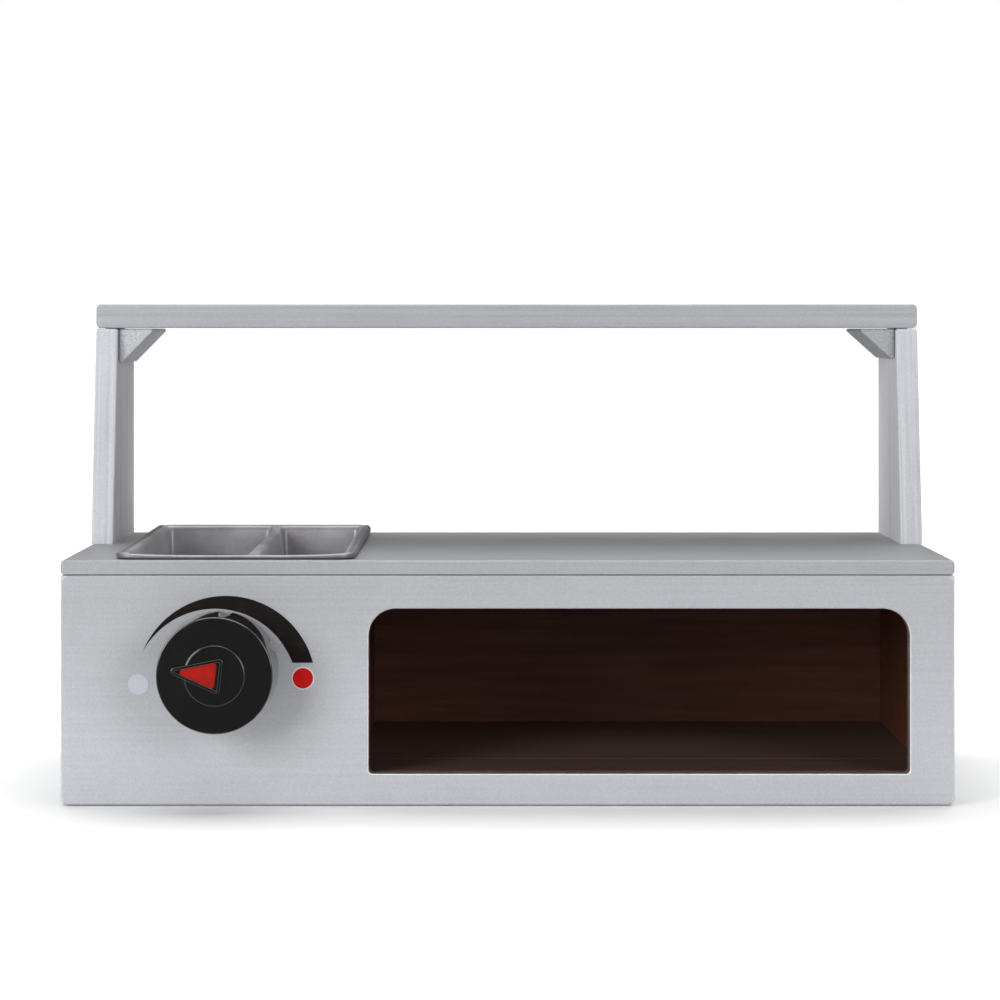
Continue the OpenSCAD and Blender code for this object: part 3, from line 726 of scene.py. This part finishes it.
class TOYOVEN_OT_box_boards(Operator):
    """Build the sides, the back, the oven's wall and floor, and the battens under it"""
    bl_idname = "toyoven.box_boards"
    bl_label = "Box"

    def execute(self, context):
        outside, wall = silver_paint("silver_side", "Y", 0.97).material, brown_paint("brown_wall")
        # The floor and the strip in front of it are made paler by dust and painted light, the strip
        # a little less
        floor, strip = brown_paint("brown_floor", 0.5), brown_paint("brown_strip", 0.4)
        wood = bare_wood("batten_wood")
        side_r, wall_r, floor_r, batten_r = 0.6 * MM, 0.4 * MM, 0.3 * MM, 0.5 * MM
        box_board("left_side_board", "left_side_panel", "X", side_r, outside, "silver_board")
        self.back(context.scene.toy_oven_boards, wall)
        right = box_board("right_side_board", "right_side_panel", "X", side_r, outside,
                          "silver_board")
        lined(right, wall, "X", -1)
        box_board("oven_left_wall", "cavity_divider", "X", wall_r, wall, "brown_board")
        box_board("oven_floor_board", "floor_board", "Z", floor_r, floor, "brown_board")
        box_board("oven_hearth_strip", "hearth_strip", "Z", floor_r, strip, "brown_board")
        for side in ("left", "right"):
            box_board(f"{side}_floor_batten", f"{side}_floor_cleat", "Z", batten_r, wood,
                      "bare_wood")
        return {"FINISHED"}

    def back(self, sizes, wall):
        """The back panel has countersunk holes for its screws."""
        depth = BACK_HIGH.y - BACK_LOW.y
        outer = rectangle((BACK_LOW.x, BACK_LOW.z), (BACK_HIGH.x, BACK_HIGH.z))
        screw_r, head_r, shank_r = 3.5 * MM, 3.55 * MM, 1.8 * MM
        low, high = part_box("back_screws")
        columns = (low.x + screw_r, (DIVIDER_LOW.x + DIVIDER_HIGH.x) / 2, high.x - screw_r)
        rows = (low.z + screw_r, high.z - screw_r)

        def board(inset):
            return rounded(outer, [sizes.back_corner_r] * 4, inset)

        def hole(x, z):
            return lambda inset: ring((x, z), shank_r, -inset, 32)

        seat = depth - (head_r - shank_r)
        sink = [(0, 0), (seat, 0), (depth, head_r - shank_r)]
        rims = [(board, eased(depth, sizes.edge_r))]
        rims += [(hole(x, z), sink) for x in columns for z in rows]
        paint = silver_paint("silver_back", "X", 0.97).material
        made = silver_board("back_board", plate(rims, across_y(BACK_LOW.y)), "back_panel", paint)
        lined(made, wall, "Y", -1)


class TOYOVEN_OT_countertop(Operator):
    """Build the countertop with its cut-out for the tray"""
    bl_idname = "toyoven.countertop"
    bl_label = "Countertop"

    def execute(self, context):
        sizes = context.scene.toy_oven_boards
        lip_w = context.scene.toy_oven_tray.lip_w
        depth = COUNTER_HIGH.z - COUNTER_LOW.z - SHADOW_GAP
        outer = rectangle(COUNTER_LOW, COUNTER_HIGH)
        corner_r, hole_r, play = 1.5 * MM, 7.5 * MM, 1.5 * MM
        cut_in = Vector((lip_w - play, lip_w - play, 0))
        cut_out = rectangle(TRAY_LOW + cut_in, TRAY_HIGH - cut_in)

        def board(inset):
            return rounded(outer, [corner_r + inset] * 4, inset)

        def hole(inset):
            return rounded(cut_out, [hole_r] * 4, -inset)

        rims = [(board, eased(depth, sizes.edge_r, flat=1.8 * MM, lower=0.45 * MM)),
                (hole, eased(depth, 0.4 * MM))]
        mesh = plate(rims, across_z(COUNTER_LOW.z + SHADOW_GAP))
        rounded_ends(mesh, COUNTER_LOW, COUNTER_HIGH, sizes.counter_end_r)
        paint = silver_paint("silver_counter", "X", 0.79, 0.008).material
        made = silver_board("countertop_board", mesh, "countertop", paint)
        lined(made, brown_paint("brown_ceiling"), "Z", -1)
        # Painted shade: the top faces get a darker copy of the counter's silver paint
        lined(made, silver_paint("silver_counter_top", "X", 0.59, 0.012).material, "Z", 1)
        return {"FINISHED"}


class TOYOVEN_OT_shelf(Operator):
    """Build the two posts, the shelf and the corner blocks under it"""
    bl_idname = "toyoven.shelf"
    bl_label = "Posts and shelf"

    def execute(self, context):
        sizes = context.scene.toy_oven_boards
        post_paint = silver_paint("silver_post", "YZ", 1.22, streaky=1.6).material
        outside = silver_paint("silver_post_outside", "Z", 1.0, streaky=1.2).material
        self.board(sizes, silver_paint("silver_shelf", "X", 0.9, streaky=1.1).material)
        # Painted light and shade: the right post's inside face gets a lighter paint than the
        # left's, and the right corner block a darker one than the left
        sides = (("left", 1.22, 1.12, 0), ("right", 1.5, 0.85, 2.2 * MM))
        for side, inside_painted_light, block_painted_light, short in sides:
            inside = silver_paint(f"silver_{side}_post_inside", "Z", inside_painted_light, 0.03, 1.5)
            self.post(side, sizes, post_paint, inside.material, outside)
            block_paint = silver_paint(f"silver_{side}_block", "Y", block_painted_light, speckled=2.8)
            self.block(side, short, block_paint.material)
        return {"FINISHED"}

    def board(self, sizes, paint):
        corner_r, face_rows = 1.5 * MM, 2.4 * MM
        corners = rectangle(SHELF_LOW, SHELF_HIGH)

        def outline(inset):
            return rounded(corners, [corner_r + inset] * 4, inset)

        profile = eased(SHELF_HIGH.z - SHELF_LOW.z - SHADOW_GAP, sizes.edge_r, face_rows)
        mesh = plate([(outline, profile)], across_z(SHELF_LOW.z + SHADOW_GAP))
        rounded_ends(mesh, SHELF_LOW, SHELF_HIGH, sizes.shelf_end_r)
        silver_board("shelf_board", mesh, "top_shelf", paint)

    def post(self, side, sizes, paint, inside, outside):
        """Upright at the back, and leaning back at the front. Its foot is cut off square."""
        low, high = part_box(f"{side}_post")
        cut_off = 2 * MM
        lean = (SHELF_LOW.y - low.y) / (high.z - low.z) * cut_off
        corners = [(low.y - lean, low.z - cut_off), (high.y, low.z - cut_off),
                   (high.y, high.z), (SHELF_LOW.y, high.z)]

        def outline(inset):
            return rounded(corners, [sizes.post_edge_r] * 4, inset, arc=4)

        mesh = plate([(outline, eased(high.x - low.x, sizes.post_edge_r))], across_x(low.x))
        geometry = mesh.verts[:] + mesh.edges[:] + mesh.faces[:]
        cut = bmesh.ops.bisect_plane(
            mesh, geom=geometry, plane_co=(0, 0, low.z), plane_no=(0, 0, 1), clear_inner=True)
        foot = [edge for edge in cut["geom_cut"] if isinstance(edge, bmesh.types.BMEdge)]
        bmesh.ops.triangle_fill(mesh, use_beauty=True, edges=foot)
        made = silver_board(f"{side}_post_board", mesh, f"{side}_post", paint)
        inwards = 1 if side == "left" else -1
        lined(made, inside, "X", inwards)
        lined(made, outside, "X", -inwards)
        # Painted highlights on the post's arrises
        paint_arris_highlight(made)

    def block(self, side, short, paint):
        """A triangular block with blunt tips under the shelf. Its joint to the post shows."""
        joint, blunt, corner_r, edge_r = 0.35 * MM, 1.5 * MM, 1.1 * MM, 0.8 * MM
        low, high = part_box(f"{side}_gusset")
        low.z += short
        wall, tip = (low.x, high.x) if side == "left" else (high.x, low.x)
        wall += math.copysign(joint, tip - wall)
        corners = [(wall, high.z), (wall, low.z), (wall + math.copysign(blunt, tip - wall), low.z),
                   (tip, high.z - blunt), (tip, high.z)]
        if side == "right":
            corners.reverse()

        def outline(inset):
            return rounded(corners, [corner_r] * 5, inset, arc=4)

        mesh = plate([(outline, eased(high.y - low.y, edge_r))], across_y(low.y))
        # Painted highlights on the block's arrises
        paint_arris_highlight(silver_board(f"{side}_corner_block", mesh, f"{side}_gusset", paint), light=1.25)


class TOYOVEN_OT_tray(Operator):
    """Build the pressed tray with two compartments and a rolled rim"""
    bl_idname = "toyoven.tray"
    bl_label = "Topping tray"

    def execute(self, context):
        sizes = context.scene.toy_oven_tray
        mesh = bmesh.new()
        self.compartments(mesh, sizes)
        bmesh.ops.remove_doubles(mesh, verts=mesh.verts, dist=0.01 * MM)
        for vertex in mesh.verts:
            vertex.co.z += self.ridge(vertex.co, sizes)
        self.rim(mesh, sizes)
        for vertex in mesh.verts:
            vertex.co.z = self.sagged(vertex.co, sizes)
        # Painted shade: the rolled rim gets a darker, more metallic copy of the sheet's metal
        sheet, rim = tray_metal("tray_sheet", 1.0, 0.35), tray_metal("tray_rim", 0.72, 0.6)
        made = piece("topping_tray_sheet", mesh, "tray", "tray_metal", ["topping_tray"],
                     sheet, rim, sharp=60)
        for face in made.data.polygons:
            face.material_index = int(self.on_rim(face.center, sizes))
        made.modifiers.remove(made.modifiers["flat_faces"])  # the sheet has no large flat faces
        return {"FINISHED"}

    def compartments(self, mesh, sizes):
        """Each compartment runs out to its half of the lip, so the two meet on the ridge."""
        bead_r, metal_t = sizes.bead_d / 2, 0.8 * MM
        depth = LIP_Z - TRAY_LOW.z - metal_t
        lip_r, foot_r, draft, pan_r = 2.6 * MM, 4.5 * MM, 1.4 * MM, 3 * MM
        ridge_x = TRAY_LOW.x + sizes.ridge_in
        near, far = TRAY_LOW.y + sizes.lip_w, TRAY_HIGH.y - sizes.lip_w
        walls = [(TRAY_LOW.x + sizes.lip_w, ridge_x - sizes.ridge_w / 2),
                 (ridge_x + sizes.ridge_w / 2, TRAY_HIGH.x - sizes.lip_w)]
        lips = [(TRAY_LOW.x + bead_r, ridge_x), (ridge_x, TRAY_HIGH.x - bead_r)]
        sharp, round_r = 0, sizes.rim_corner_r - bead_r
        lip_radii = [(round_r, sharp, sharp, round_r), (sharp, round_r, round_r, sharp)]
        turns = [math.radians(angle) for angle in (0, 15, 30, 45, 60, 75, 86)]
        profile = [(lip_r * math.sin(t), lip_r * (math.cos(t) - 1)) for t in turns]
        profile += [(lip_r + draft * 0.5, -depth / 2)]
        profile += [(lip_r + draft + foot_r * (1 - math.cos(t)), foot_r * (1 - math.sin(t)) - depth)
                    for t in turns[:-1]]
        profile += [(lip_r + draft + foot_r, -depth)]
        for (left, right), lip, radii in zip(walls, lips, lip_radii):
            outer = rectangle((lip[0], TRAY_LOW.y + bead_r), (lip[1], TRAY_HIGH.y - bead_r))
            mouth = rectangle((left - lip_r, near - lip_r), (right + lip_r, far + lip_r))
            loops = [loop_of(mesh, rounded(outer, radii, sides=24), LIP_Z, across_z(0))]
            for inset, height in profile:
                points = rounded(mouth, [lip_r + pan_r] * 4, inset, sides=24)
                loops.append(loop_of(mesh, points, LIP_Z + height, across_z(0)))
            joined(mesh, loops)
            mesh.faces.new(loops[-1])

    def ridge(self, place, sizes):
        """How much lower the ridge makes the sheet here: it fades out to its sides and its ends."""
        fade = 9 * MM
        across = max(0, 1 - abs(place.x - TRAY_LOW.x - sizes.ridge_in) / fade)
        ends = min(place.y - TRAY_LOW.y, TRAY_HIGH.y - place.y) - sizes.lip_w
        lengthways = min(max(ends / fade, 0), 1)
        share = (3 - 2 * across) * across ** 2 * (3 - 2 * lengthways) * lengthways ** 2
        return -sizes.ridge_drop * share * max(0, 1 + (place.z - LIP_Z) / (LIP_Z - TRAY_LOW.z))

    def rim(self, mesh, sizes):
        """The rolled rim is a tube round the lip."""
        bead_r, round_bead = sizes.bead_d / 2, 14
        outer = rectangle(TRAY_LOW, TRAY_HIGH)
        loops = []
        for step in range(round_bead):
            turn = 2 * math.pi * step / round_bead
            points = rounded(outer, [sizes.rim_corner_r] * 4, bead_r * (1 - math.cos(turn)), 10, 24)
            height = TRAY_HIGH.z + bead_r * (math.sin(turn) - 1)
            loops.append(loop_of(mesh, points, height, across_z(0)))
        joined(mesh, loops, closed=True)

    def on_rim(self, place, sizes):
        """Whether this is in the rolled rim and not inside it."""
        aside = min(place.x - TRAY_LOW.x, TRAY_HIGH.x - place.x,
                    place.y - TRAY_LOW.y, TRAY_HIGH.y - place.y)
        return aside < 0.9 * sizes.bead_d and place.z > TRAY_HIGH.z - 1.2 * sizes.bead_d

    def sagged(self, place, sizes):
        """The rim's front is pressed down between its corners, and its back stands higher."""
        base = TRAY_HIGH.z - sizes.bead_d
        if place.z <= base:
            return place.z
        middle, half = (TRAY_LOW.x + TRAY_HIGH.x) / 2, (TRAY_HIGH.x - TRAY_LOW.x) / 2
        sag_end = 70 * MM
        inwards = 1 - min(1, abs(place.x - middle) / half) ** 4
        near = max(0, 1 - (place.y - TRAY_LOW.y) / sag_end)
        far = max(0, (place.y - TRAY_LOW.y) / (TRAY_HIGH.y - TRAY_LOW.y))
        share = 1 - sizes.sag * inwards * near ** 1.5 + sizes.back_rise * far
        return base + (place.z - base) * share


class TOYOVEN_OT_knob(Operator):
    """Build the fluted knob with its stem and the frame round the pointer"""
    bl_idname = "toyoven.knob"
    bl_label = "Knob"

    def execute(self, context):
        sizes = context.scene.toy_oven_dial
        mesh = bmesh.new()
        self.turned_body(mesh, sizes)
        self.pointer_frame(mesh, sizes)
        self.key(mesh)
        made = piece("knob_moulding", mesh, "dial", "black_plastic", ["knob_body"],
                     black_plastic(), sharp=50)
        # Painted highlights: the knob's rim, grooves, disc edge and the pointer's frame get a much
        # lighter copy of the black
        paint_arris_highlight(made, "Y", light=10)
        return {"FINISHED"}

    def turned_body(self, mesh, sizes):
        """The section is turned round the stem, with the flutes scooped out of the tapered side."""
        rear_r = (KNOB_HIGH.x - KNOB_LOW.x) / 2
        rear, rear_ease, wall = 0.8 * MM, 0.4 * MM, 2.4 * MM
        stem_r, stem_ease, hub_r = 6 * MM, 0.3 * MM, 8.5 * MM
        hollow_r = rear_r - sizes.flute_depth - wall
        stem_end = -BOARD_T - 0.4 * MM
        hub_end, roof = 1.9 * MM, KNOB_FACE - wall
        section = [(stem_end, 0.5 * MM), (stem_end, stem_r - stem_ease),
                   (stem_end + stem_ease, stem_r), (hub_end, stem_r), (hub_end, hub_r),
                   (roof, hub_r), (roof, hollow_r), (rear, hollow_r), (rear, rear_r - rear_ease),
                   (rear + 0.3 * rear_ease, rear_r - 0.3 * rear_ease)]
        rows, foot, shoulder = 36, rear + rear_ease, KNOB_FACE - 1.1 * MM
        heights = [foot + (shoulder - foot) * row / rows for row in range(rows + 1)]
        section += [(height, rear_r - sizes.taper * (height - rear) / (KNOB_FACE - rear))
                    for height in heights]
        section += self.face_edge(rear_r - sizes.taper)
        columns = self.columns(sizes, rear_r)
        loops = []
        for height, radius in section:
            radii = [self.scooped(turn, radius, height, rear_r, sizes) for turn in columns]
            loops.append([mesh.verts.new(self.at(*place, height)) for place in zip(columns, radii)])
        solid(mesh, loops)

    def face_edge(self, face_r):
        """Round the edge, over two fine grooves in the face, and in to the raised disc."""
        face, soft = KNOB_FACE, 0.7 * MM
        groove_w, groove_depth = 0.5 * MM, 0.06 * MM
        disc_r, disc_rise = 15.2 * MM, 0.5 * MM
        section = [(face - soft + soft * math.sin(t), face_r - soft + soft * math.cos(t))
                   for t in quarter(6)]
        for groove_in in (1.45 * MM, 2.15 * MM):
            middle = face_r - groove_in
            section += [(face, middle + groove_w / 2), (face - groove_depth, middle),
                        (face, middle - groove_w / 2)]
        section += [(face, disc_r + 1.2 * MM), (face, disc_r + 0.35 * MM),
                    (face + 0.05 * MM, disc_r + 0.1 * MM)]
        section += [(face + disc_rise * math.sin(t), disc_r - disc_rise * (1 - math.cos(t)))
                    for t in quarter(6)[1:]]
        inwards = (disc_r - 1.2 * MM, 6 * MM, 1 * MM)
        return section + [(face + disc_rise, radius) for radius in inwards]

    def columns(self, sizes, knob_r):
        """Angles round the knob, closer together in the flutes."""
        out = knob_r + sizes.flute_r - sizes.flute_depth
        mouth = math.acos((out ** 2 + knob_r ** 2 - sizes.flute_r ** 2) / (2 * out * knob_r))
        half = math.pi / sizes.flute_count
        in_land, in_flute = 12, 20
        sector = [-half + (half - mouth) * step / in_land for step in range(in_land)]
        sector += [-mouth + 2 * mouth * step / in_flute for step in range(in_flute)]
        sector += [mouth + (half - mouth) * step / in_land for step in range(in_land)]
        start = math.pi - sizes.tilt + half
        return [start + 2 * half * flute + turn
                for flute in range(sizes.flute_count) for turn in sector]

    def scooped(self, turn, radius, height, knob_r, sizes):
        """The radius here, less what a flute takes away: it narrows along the knob's side."""
        straight, narrowing, end, side = 6 * MM, 36 * MM, 31 * MM, 4 * MM
        if radius < knob_r - side or height > end:
            return radius
        scoop = sizes.flute_r * math.sqrt(1 - (max(height - straight, 0) / narrowing) ** 2)
        pitch = 2 * math.pi / sizes.flute_count
        off = (turn - math.pi + sizes.tilt) % pitch - pitch / 2
        out = knob_r + sizes.flute_r - sizes.flute_depth
        aside = out * math.sin(off)
        if abs(aside) >= scoop:
            return radius
        return min(radius, out * math.cos(off) - math.sqrt(scoop ** 2 - aside ** 2))

    def at(self, turn, radius, height):
        """A place on the dial: seen from the front, the angle runs anticlockwise from the right."""
        return (DIAL_X + radius * math.cos(turn), DIAL_Y - height, DIAL_Z + radius * math.sin(turn))

    def pointer_frame(self, mesh, sizes):
        """A raised, rounded moulding round the pointer, let a little into the face."""
        width, soft, root = 1.6 * MM, 0.5 * MM, KNOB_FACE - 0.3 * MM
        outside = over(soft, KNOB_FACE + FRAME_RISE, 4)
        inside = [(width - inset, height) for inset, height in reversed(outside)]
        section = [(-0.2 * MM, root), *outside, *inside, (width + 0.1 * MM, root)]
        loops = [pointer_loop(mesh, frame_outline(inset), height, sizes.tilt)
                 for inset, height in section]
        joined(mesh, loops, closed=True)

    def key(self, mesh):
        """The square end of the stem, which the click wheel sits on."""
        half, ease, tip = 3.5 * MM, 0.3 * MM, KNOB_HIGH.y
        corners = rectangle((DIAL_X - half, DIAL_Z - half), (DIAL_X + half, DIAL_Z + half))
        start = DIAL_Y + BOARD_T + 0.3 * MM
        solid(mesh, [loop_of(mesh, rounded(corners, [ease] * 4, inset, 3), place, across_y(0))
                     for place, inset in ((start, 0), (tip - ease, 0), (tip, ease))])


def triangle(tip, tail, width, inset):
    """A round-cornered triangle that points along -X: tip and tail are measured from the axis."""
    radius = 1.8 * MM
    half = width / 2 - radius
    middles = [(radius - tip, 0), (tail - radius, -half), (tail - radius, half)]
    return rounded(middles, [0] * 3, inset - radius, 10)


def frame_outline(inset):
    return triangle(tip=22 * MM, tail=3.6 * MM, width=17.6 * MM, inset=inset)


def insert_outline(inset):
    return triangle(tip=17.4 * MM, tail=0.7 * MM, width=13.4 * MM, inset=inset)


def pointer_loop(mesh, points, height, tilt):
    """An outline on the knob's face, with the pointer's tilt."""
    loop = []
    for point in points:
        x = point.x * math.cos(tilt) + point.y * math.sin(tilt)
        z = point.y * math.cos(tilt) - point.x * math.sin(tilt)
        loop.append(mesh.verts.new((DIAL_X + x, DIAL_Y - height, DIAL_Z + z)))
    return loop


class TOYOVEN_OT_pointer(Operator):
    """Build the red pointer in the knob's face"""
    bl_idname = "toyoven.pointer"
    bl_label = "Pointer"

    def execute(self, context):
        tilt = context.scene.toy_oven_dial.tilt
        low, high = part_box("knob_pointer")
        seat, top, soft = DIAL_Y - high.y, DIAL_Y - low.y, 0.6 * MM
        section = [(0, seat), *over(soft, top, 5), (2 * soft, top), (3 * soft, top)]
        mesh = bmesh.new()
        solid(mesh, [pointer_loop(mesh, insert_outline(inset), height, tilt)
                     for inset, height in section])
        piece("pointer_insert", mesh, "dial", "red_plastic", ["knob_pointer"],
              red_plastic(), sharp=50)
        return {"FINISHED"}


class TOYOVEN_OT_mechanism(Operator):
    """Give the bearing, the click wheel, the stops and all fixings soft edges and their finish"""
    bl_idname = "toyoven.mechanism"
    bl_label = "Bearing, click and fixings"

    def execute(self, context):
        finishes = {"white_nylon": white_nylon(), "zinc_steel": zinc_steel()}
        wood = bare_wood("dowel_wood")
        parts = [("detent_wheel", "dial", "white_nylon", 0.25),
                 ("dial_bush", "oven", "white_nylon", 0.2),
                 ("wheel_washer", "dial", "zinc_steel", 0.12),
                 ("wheel_screw", "dial", "zinc_steel", 0.15),
                 ("click_spring", "oven", "zinc_steel", 0.08),
                 ("click_spring_screws", "oven", "zinc_steel", 0.12),
                 ("stop_pegs", "oven", "zinc_steel", 0.3),
                 ("back_screws", "oven", "zinc_steel", 0.12)]
        for node, body, slot, edge_w in parts:
            mesh = softened(node, edge_w * MM)
            piece(f"{node}_finished", mesh, body, slot, [node], finishes[slot], sharp=40)
        for place in ("front", "counter", "post", "shelf"):
            finished(f"{place}_dowels", wood)
        return {"FINISHED"}


class TOYOVEN_OT_prints(Operator):
    """Finish the heat scale's crescent and dots with scratched ink"""
    bl_idname = "toyoven.prints"
    bl_label = "Heat scale"

    def execute(self, context):
        finished("dial_scale_print", ink("black_ink", (0.009, 0.0062, 0.0052), 0.05))
        finished("cool_dot_print", ink("pale_ink", (0.54, 0.57, 0.63), 0.1))
        finished("hot_dot_print", ink("red_ink", (0.56, 0.005, 0.004), 0.04))
        self.halo()
        return {"FINISHED"}

    def halo(self):
        """The red dot is printed on a slightly larger pale one."""
        low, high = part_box("hot_dot_print")
        centre = ((low.x + high.x) / 2, (low.z + high.z) / 2)
        dot_r = (high.x - low.x) / 2
        film, border, overlap = 0.12 * MM, 0.55 * MM, 0.2 * MM
        rims = [(lambda inset: ring(centre, dot_r + border, inset, 72), [(0, 0), (film, 0)]),
                (lambda inset: ring(centre, dot_r - overlap, -inset, 72), [(0, 0), (film, 0)])]
        mesh = plate(rims, across_y(FRONT_Y - film))
        pale = ink("border_ink", (0.78, 0.76, 0.78), 0.1)
        piece("hot_dot_border", mesh, "oven", "pale_ink", [], pale)


class TOYOVEN_OT_stage(Operator):
    """Set the floor, the light and the camera"""
    bl_idname = "toyoven.stage"
    bl_label = "Stage"

    def execute(self, context):
        self.floor()
        self.lights()
        self.camera(context)
        return {"FINISHED"}

    def floor(self):
        """A pale sheet that curves up behind the toy, and a white one in front that lights nothing.

        Light thrown up by a sheet in front would wash out the boards' undersides and lower halves.
        """
        shader = Shader("studio_sheet")
        cloud = shader.noise((1.5, 1.5, 1.5), 2)
        aside = shader.axis("X") ** 2 + (shader.axis("Y") * 1.4) ** 2
        # The sheet glows, faintly near the toy and more away from it: painted light, which also
        # lights the toy
        shader.set(Base_Color=shader.mix(cloud, grey(0.93), grey(0.96)), Roughness=0.9,
                   Emission_Color=shader.mix(aside.between(0.12, 0.7), grey(0.03), grey(0.35)),
                   Emission_Strength=1)
        bend, start, front = 1.2, 1.6, -0.64
        curve = [(start + bend * math.sin(t), bend * (1 - math.cos(t))) for t in quarter(24)]
        self.sheet("studio_floor", [(front, 0), *curve, (start + bend, STUDIO)], shader)
        plain = Shader("studio_sheet_in_front")
        plain.set(Base_Color=grey(0.95), Roughness=0.9, Emission_Color=grey(1), Emission_Strength=1)
        ahead = self.sheet("studio_floor_in_front", [(-STUDIO, 0), (front, 0)], plain)
        ahead.visible_diffuse = False
        ahead.visible_shadow = False

    def sheet(self, name, path, shader):
        """A wide sheet along a path of (y, z) points."""
        mesh = bmesh.new()
        rows = [[mesh.verts.new((x, y, z)) for x in (-STUDIO, STUDIO)] for y, z in path]
        for near, far in zip(rows, rows[1:]):
            mesh.faces.new((near[0], near[1], far[1], far[0]))
        data = bpy.data.meshes.new(name)
        mesh.to_mesh(data)
        mesh.free()
        data.shade_smooth()
        data.materials.append(shader.material)
        made = bpy.data.objects.new(name, data)
        made.visible_glossy = False
        bpy.context.scene.collection.objects.link(made)
        return made

    def lights(self):
        """Faint light from all round, a lamp at each side of the camera, and one above."""
        world = bpy.data.worlds.new("studio_air")
        world.use_nodes = True
        air = world.node_tree.nodes["Background"].inputs
        air["Color"].default_value = (1, 1, 1, 1)
        air["Strength"].default_value = 0.11
        bpy.context.scene.world = world
        self.area("key_light", (-1.5, -2.0, 0.72), target=(0, 0, 0.1), size=1.35, power=37)
        self.area("fill_light", (1.5, -2.0, 0.68), target=(0, 0, 0.1), size=1.3, power=21)
        self.area("top_light", (0, 0.5, 1.9), target=(0, 0, 0), size=2.2, power=42)

    def area(self, name, place, target, size, power):
        """A round lamp that looks at its target: its size is its diameter."""
        light = bpy.data.lights.new(name, "AREA")
        light.shape = "DISK"
        light.size = size
        light.energy = power
        lamp = bpy.data.objects.new(name, light)
        lamp.location = place
        lamp.rotation_euler = (Vector(target) - Vector(place)).to_track_quat("-Z", "Y").to_euler()
        bpy.context.scene.collection.objects.link(lamp)

    def camera(self, context):
        """Level with the shelf's underside and nearly in the middle, shifted down to the toy."""
        lens = bpy.data.cameras.new("photo_camera")
        lens.sensor_width = 36
        lens.lens = 121.35
        lens.shift_x = 0.0041
        lens.shift_y = -0.1708
        seen_from = bpy.data.objects.new("photo_camera", lens)
        seen_from.location = (-0.006, FRONT_Y - 1.722, 0.2437)
        seen_from.rotation_euler = (math.pi / 2, 0, 0)
        context.scene.collection.objects.link(seen_from)
        context.scene.camera = seen_from
        context.scene.view_settings.view_transform = "Standard"


SETTINGS = {"toy_oven_boards": BoardSettings, "toy_oven_tray": TraySettings,
            "toy_oven_dial": DialSettings}
OPERATORS = (TOYOVEN_OT_front_panel, TOYOVEN_OT_box_boards, TOYOVEN_OT_countertop,
             TOYOVEN_OT_shelf, TOYOVEN_OT_tray, TOYOVEN_OT_knob, TOYOVEN_OT_pointer,
             TOYOVEN_OT_mechanism, TOYOVEN_OT_prints, TOYOVEN_OT_stage)


class TOYOVEN_PT_panel(Panel):
    """Lists the toy oven's sizes, colours and pieces"""
    bl_label = "Toy oven"
    bl_idname = "TOYOVEN_PT_panel"
    bl_space_type = "VIEW_3D"
    bl_region_type = "UI"
    bl_category = "Toy oven"

    def draw(self, context):
        for group in SETTINGS:
            settings = getattr(context.scene, group)
            box = self.layout.box()
            for name in settings.__annotations__:
                box.prop(settings, name)
        for operator in OPERATORS:
            self.layout.operator(operator.bl_idname)


CLASSES = (*SETTINGS.values(), *OPERATORS, TOYOVEN_PT_panel)


def register():
    for cls in CLASSES:
        bpy.utils.register_class(cls)
    for name, cls in SETTINGS.items():
        setattr(bpy.types.Scene, name, PointerProperty(type=cls))


def unregister():
    for name in SETTINGS:
        delattr(bpy.types.Scene, name)
    for cls in reversed(CLASSES):
        bpy.utils.unregister_class(cls)


def main():
    register()
    for operator in OPERATORS:
        group, name = operator.bl_idname.split(".")
        getattr(getattr(bpy.ops, group), name)()


if __name__ == "__main__":
    main()
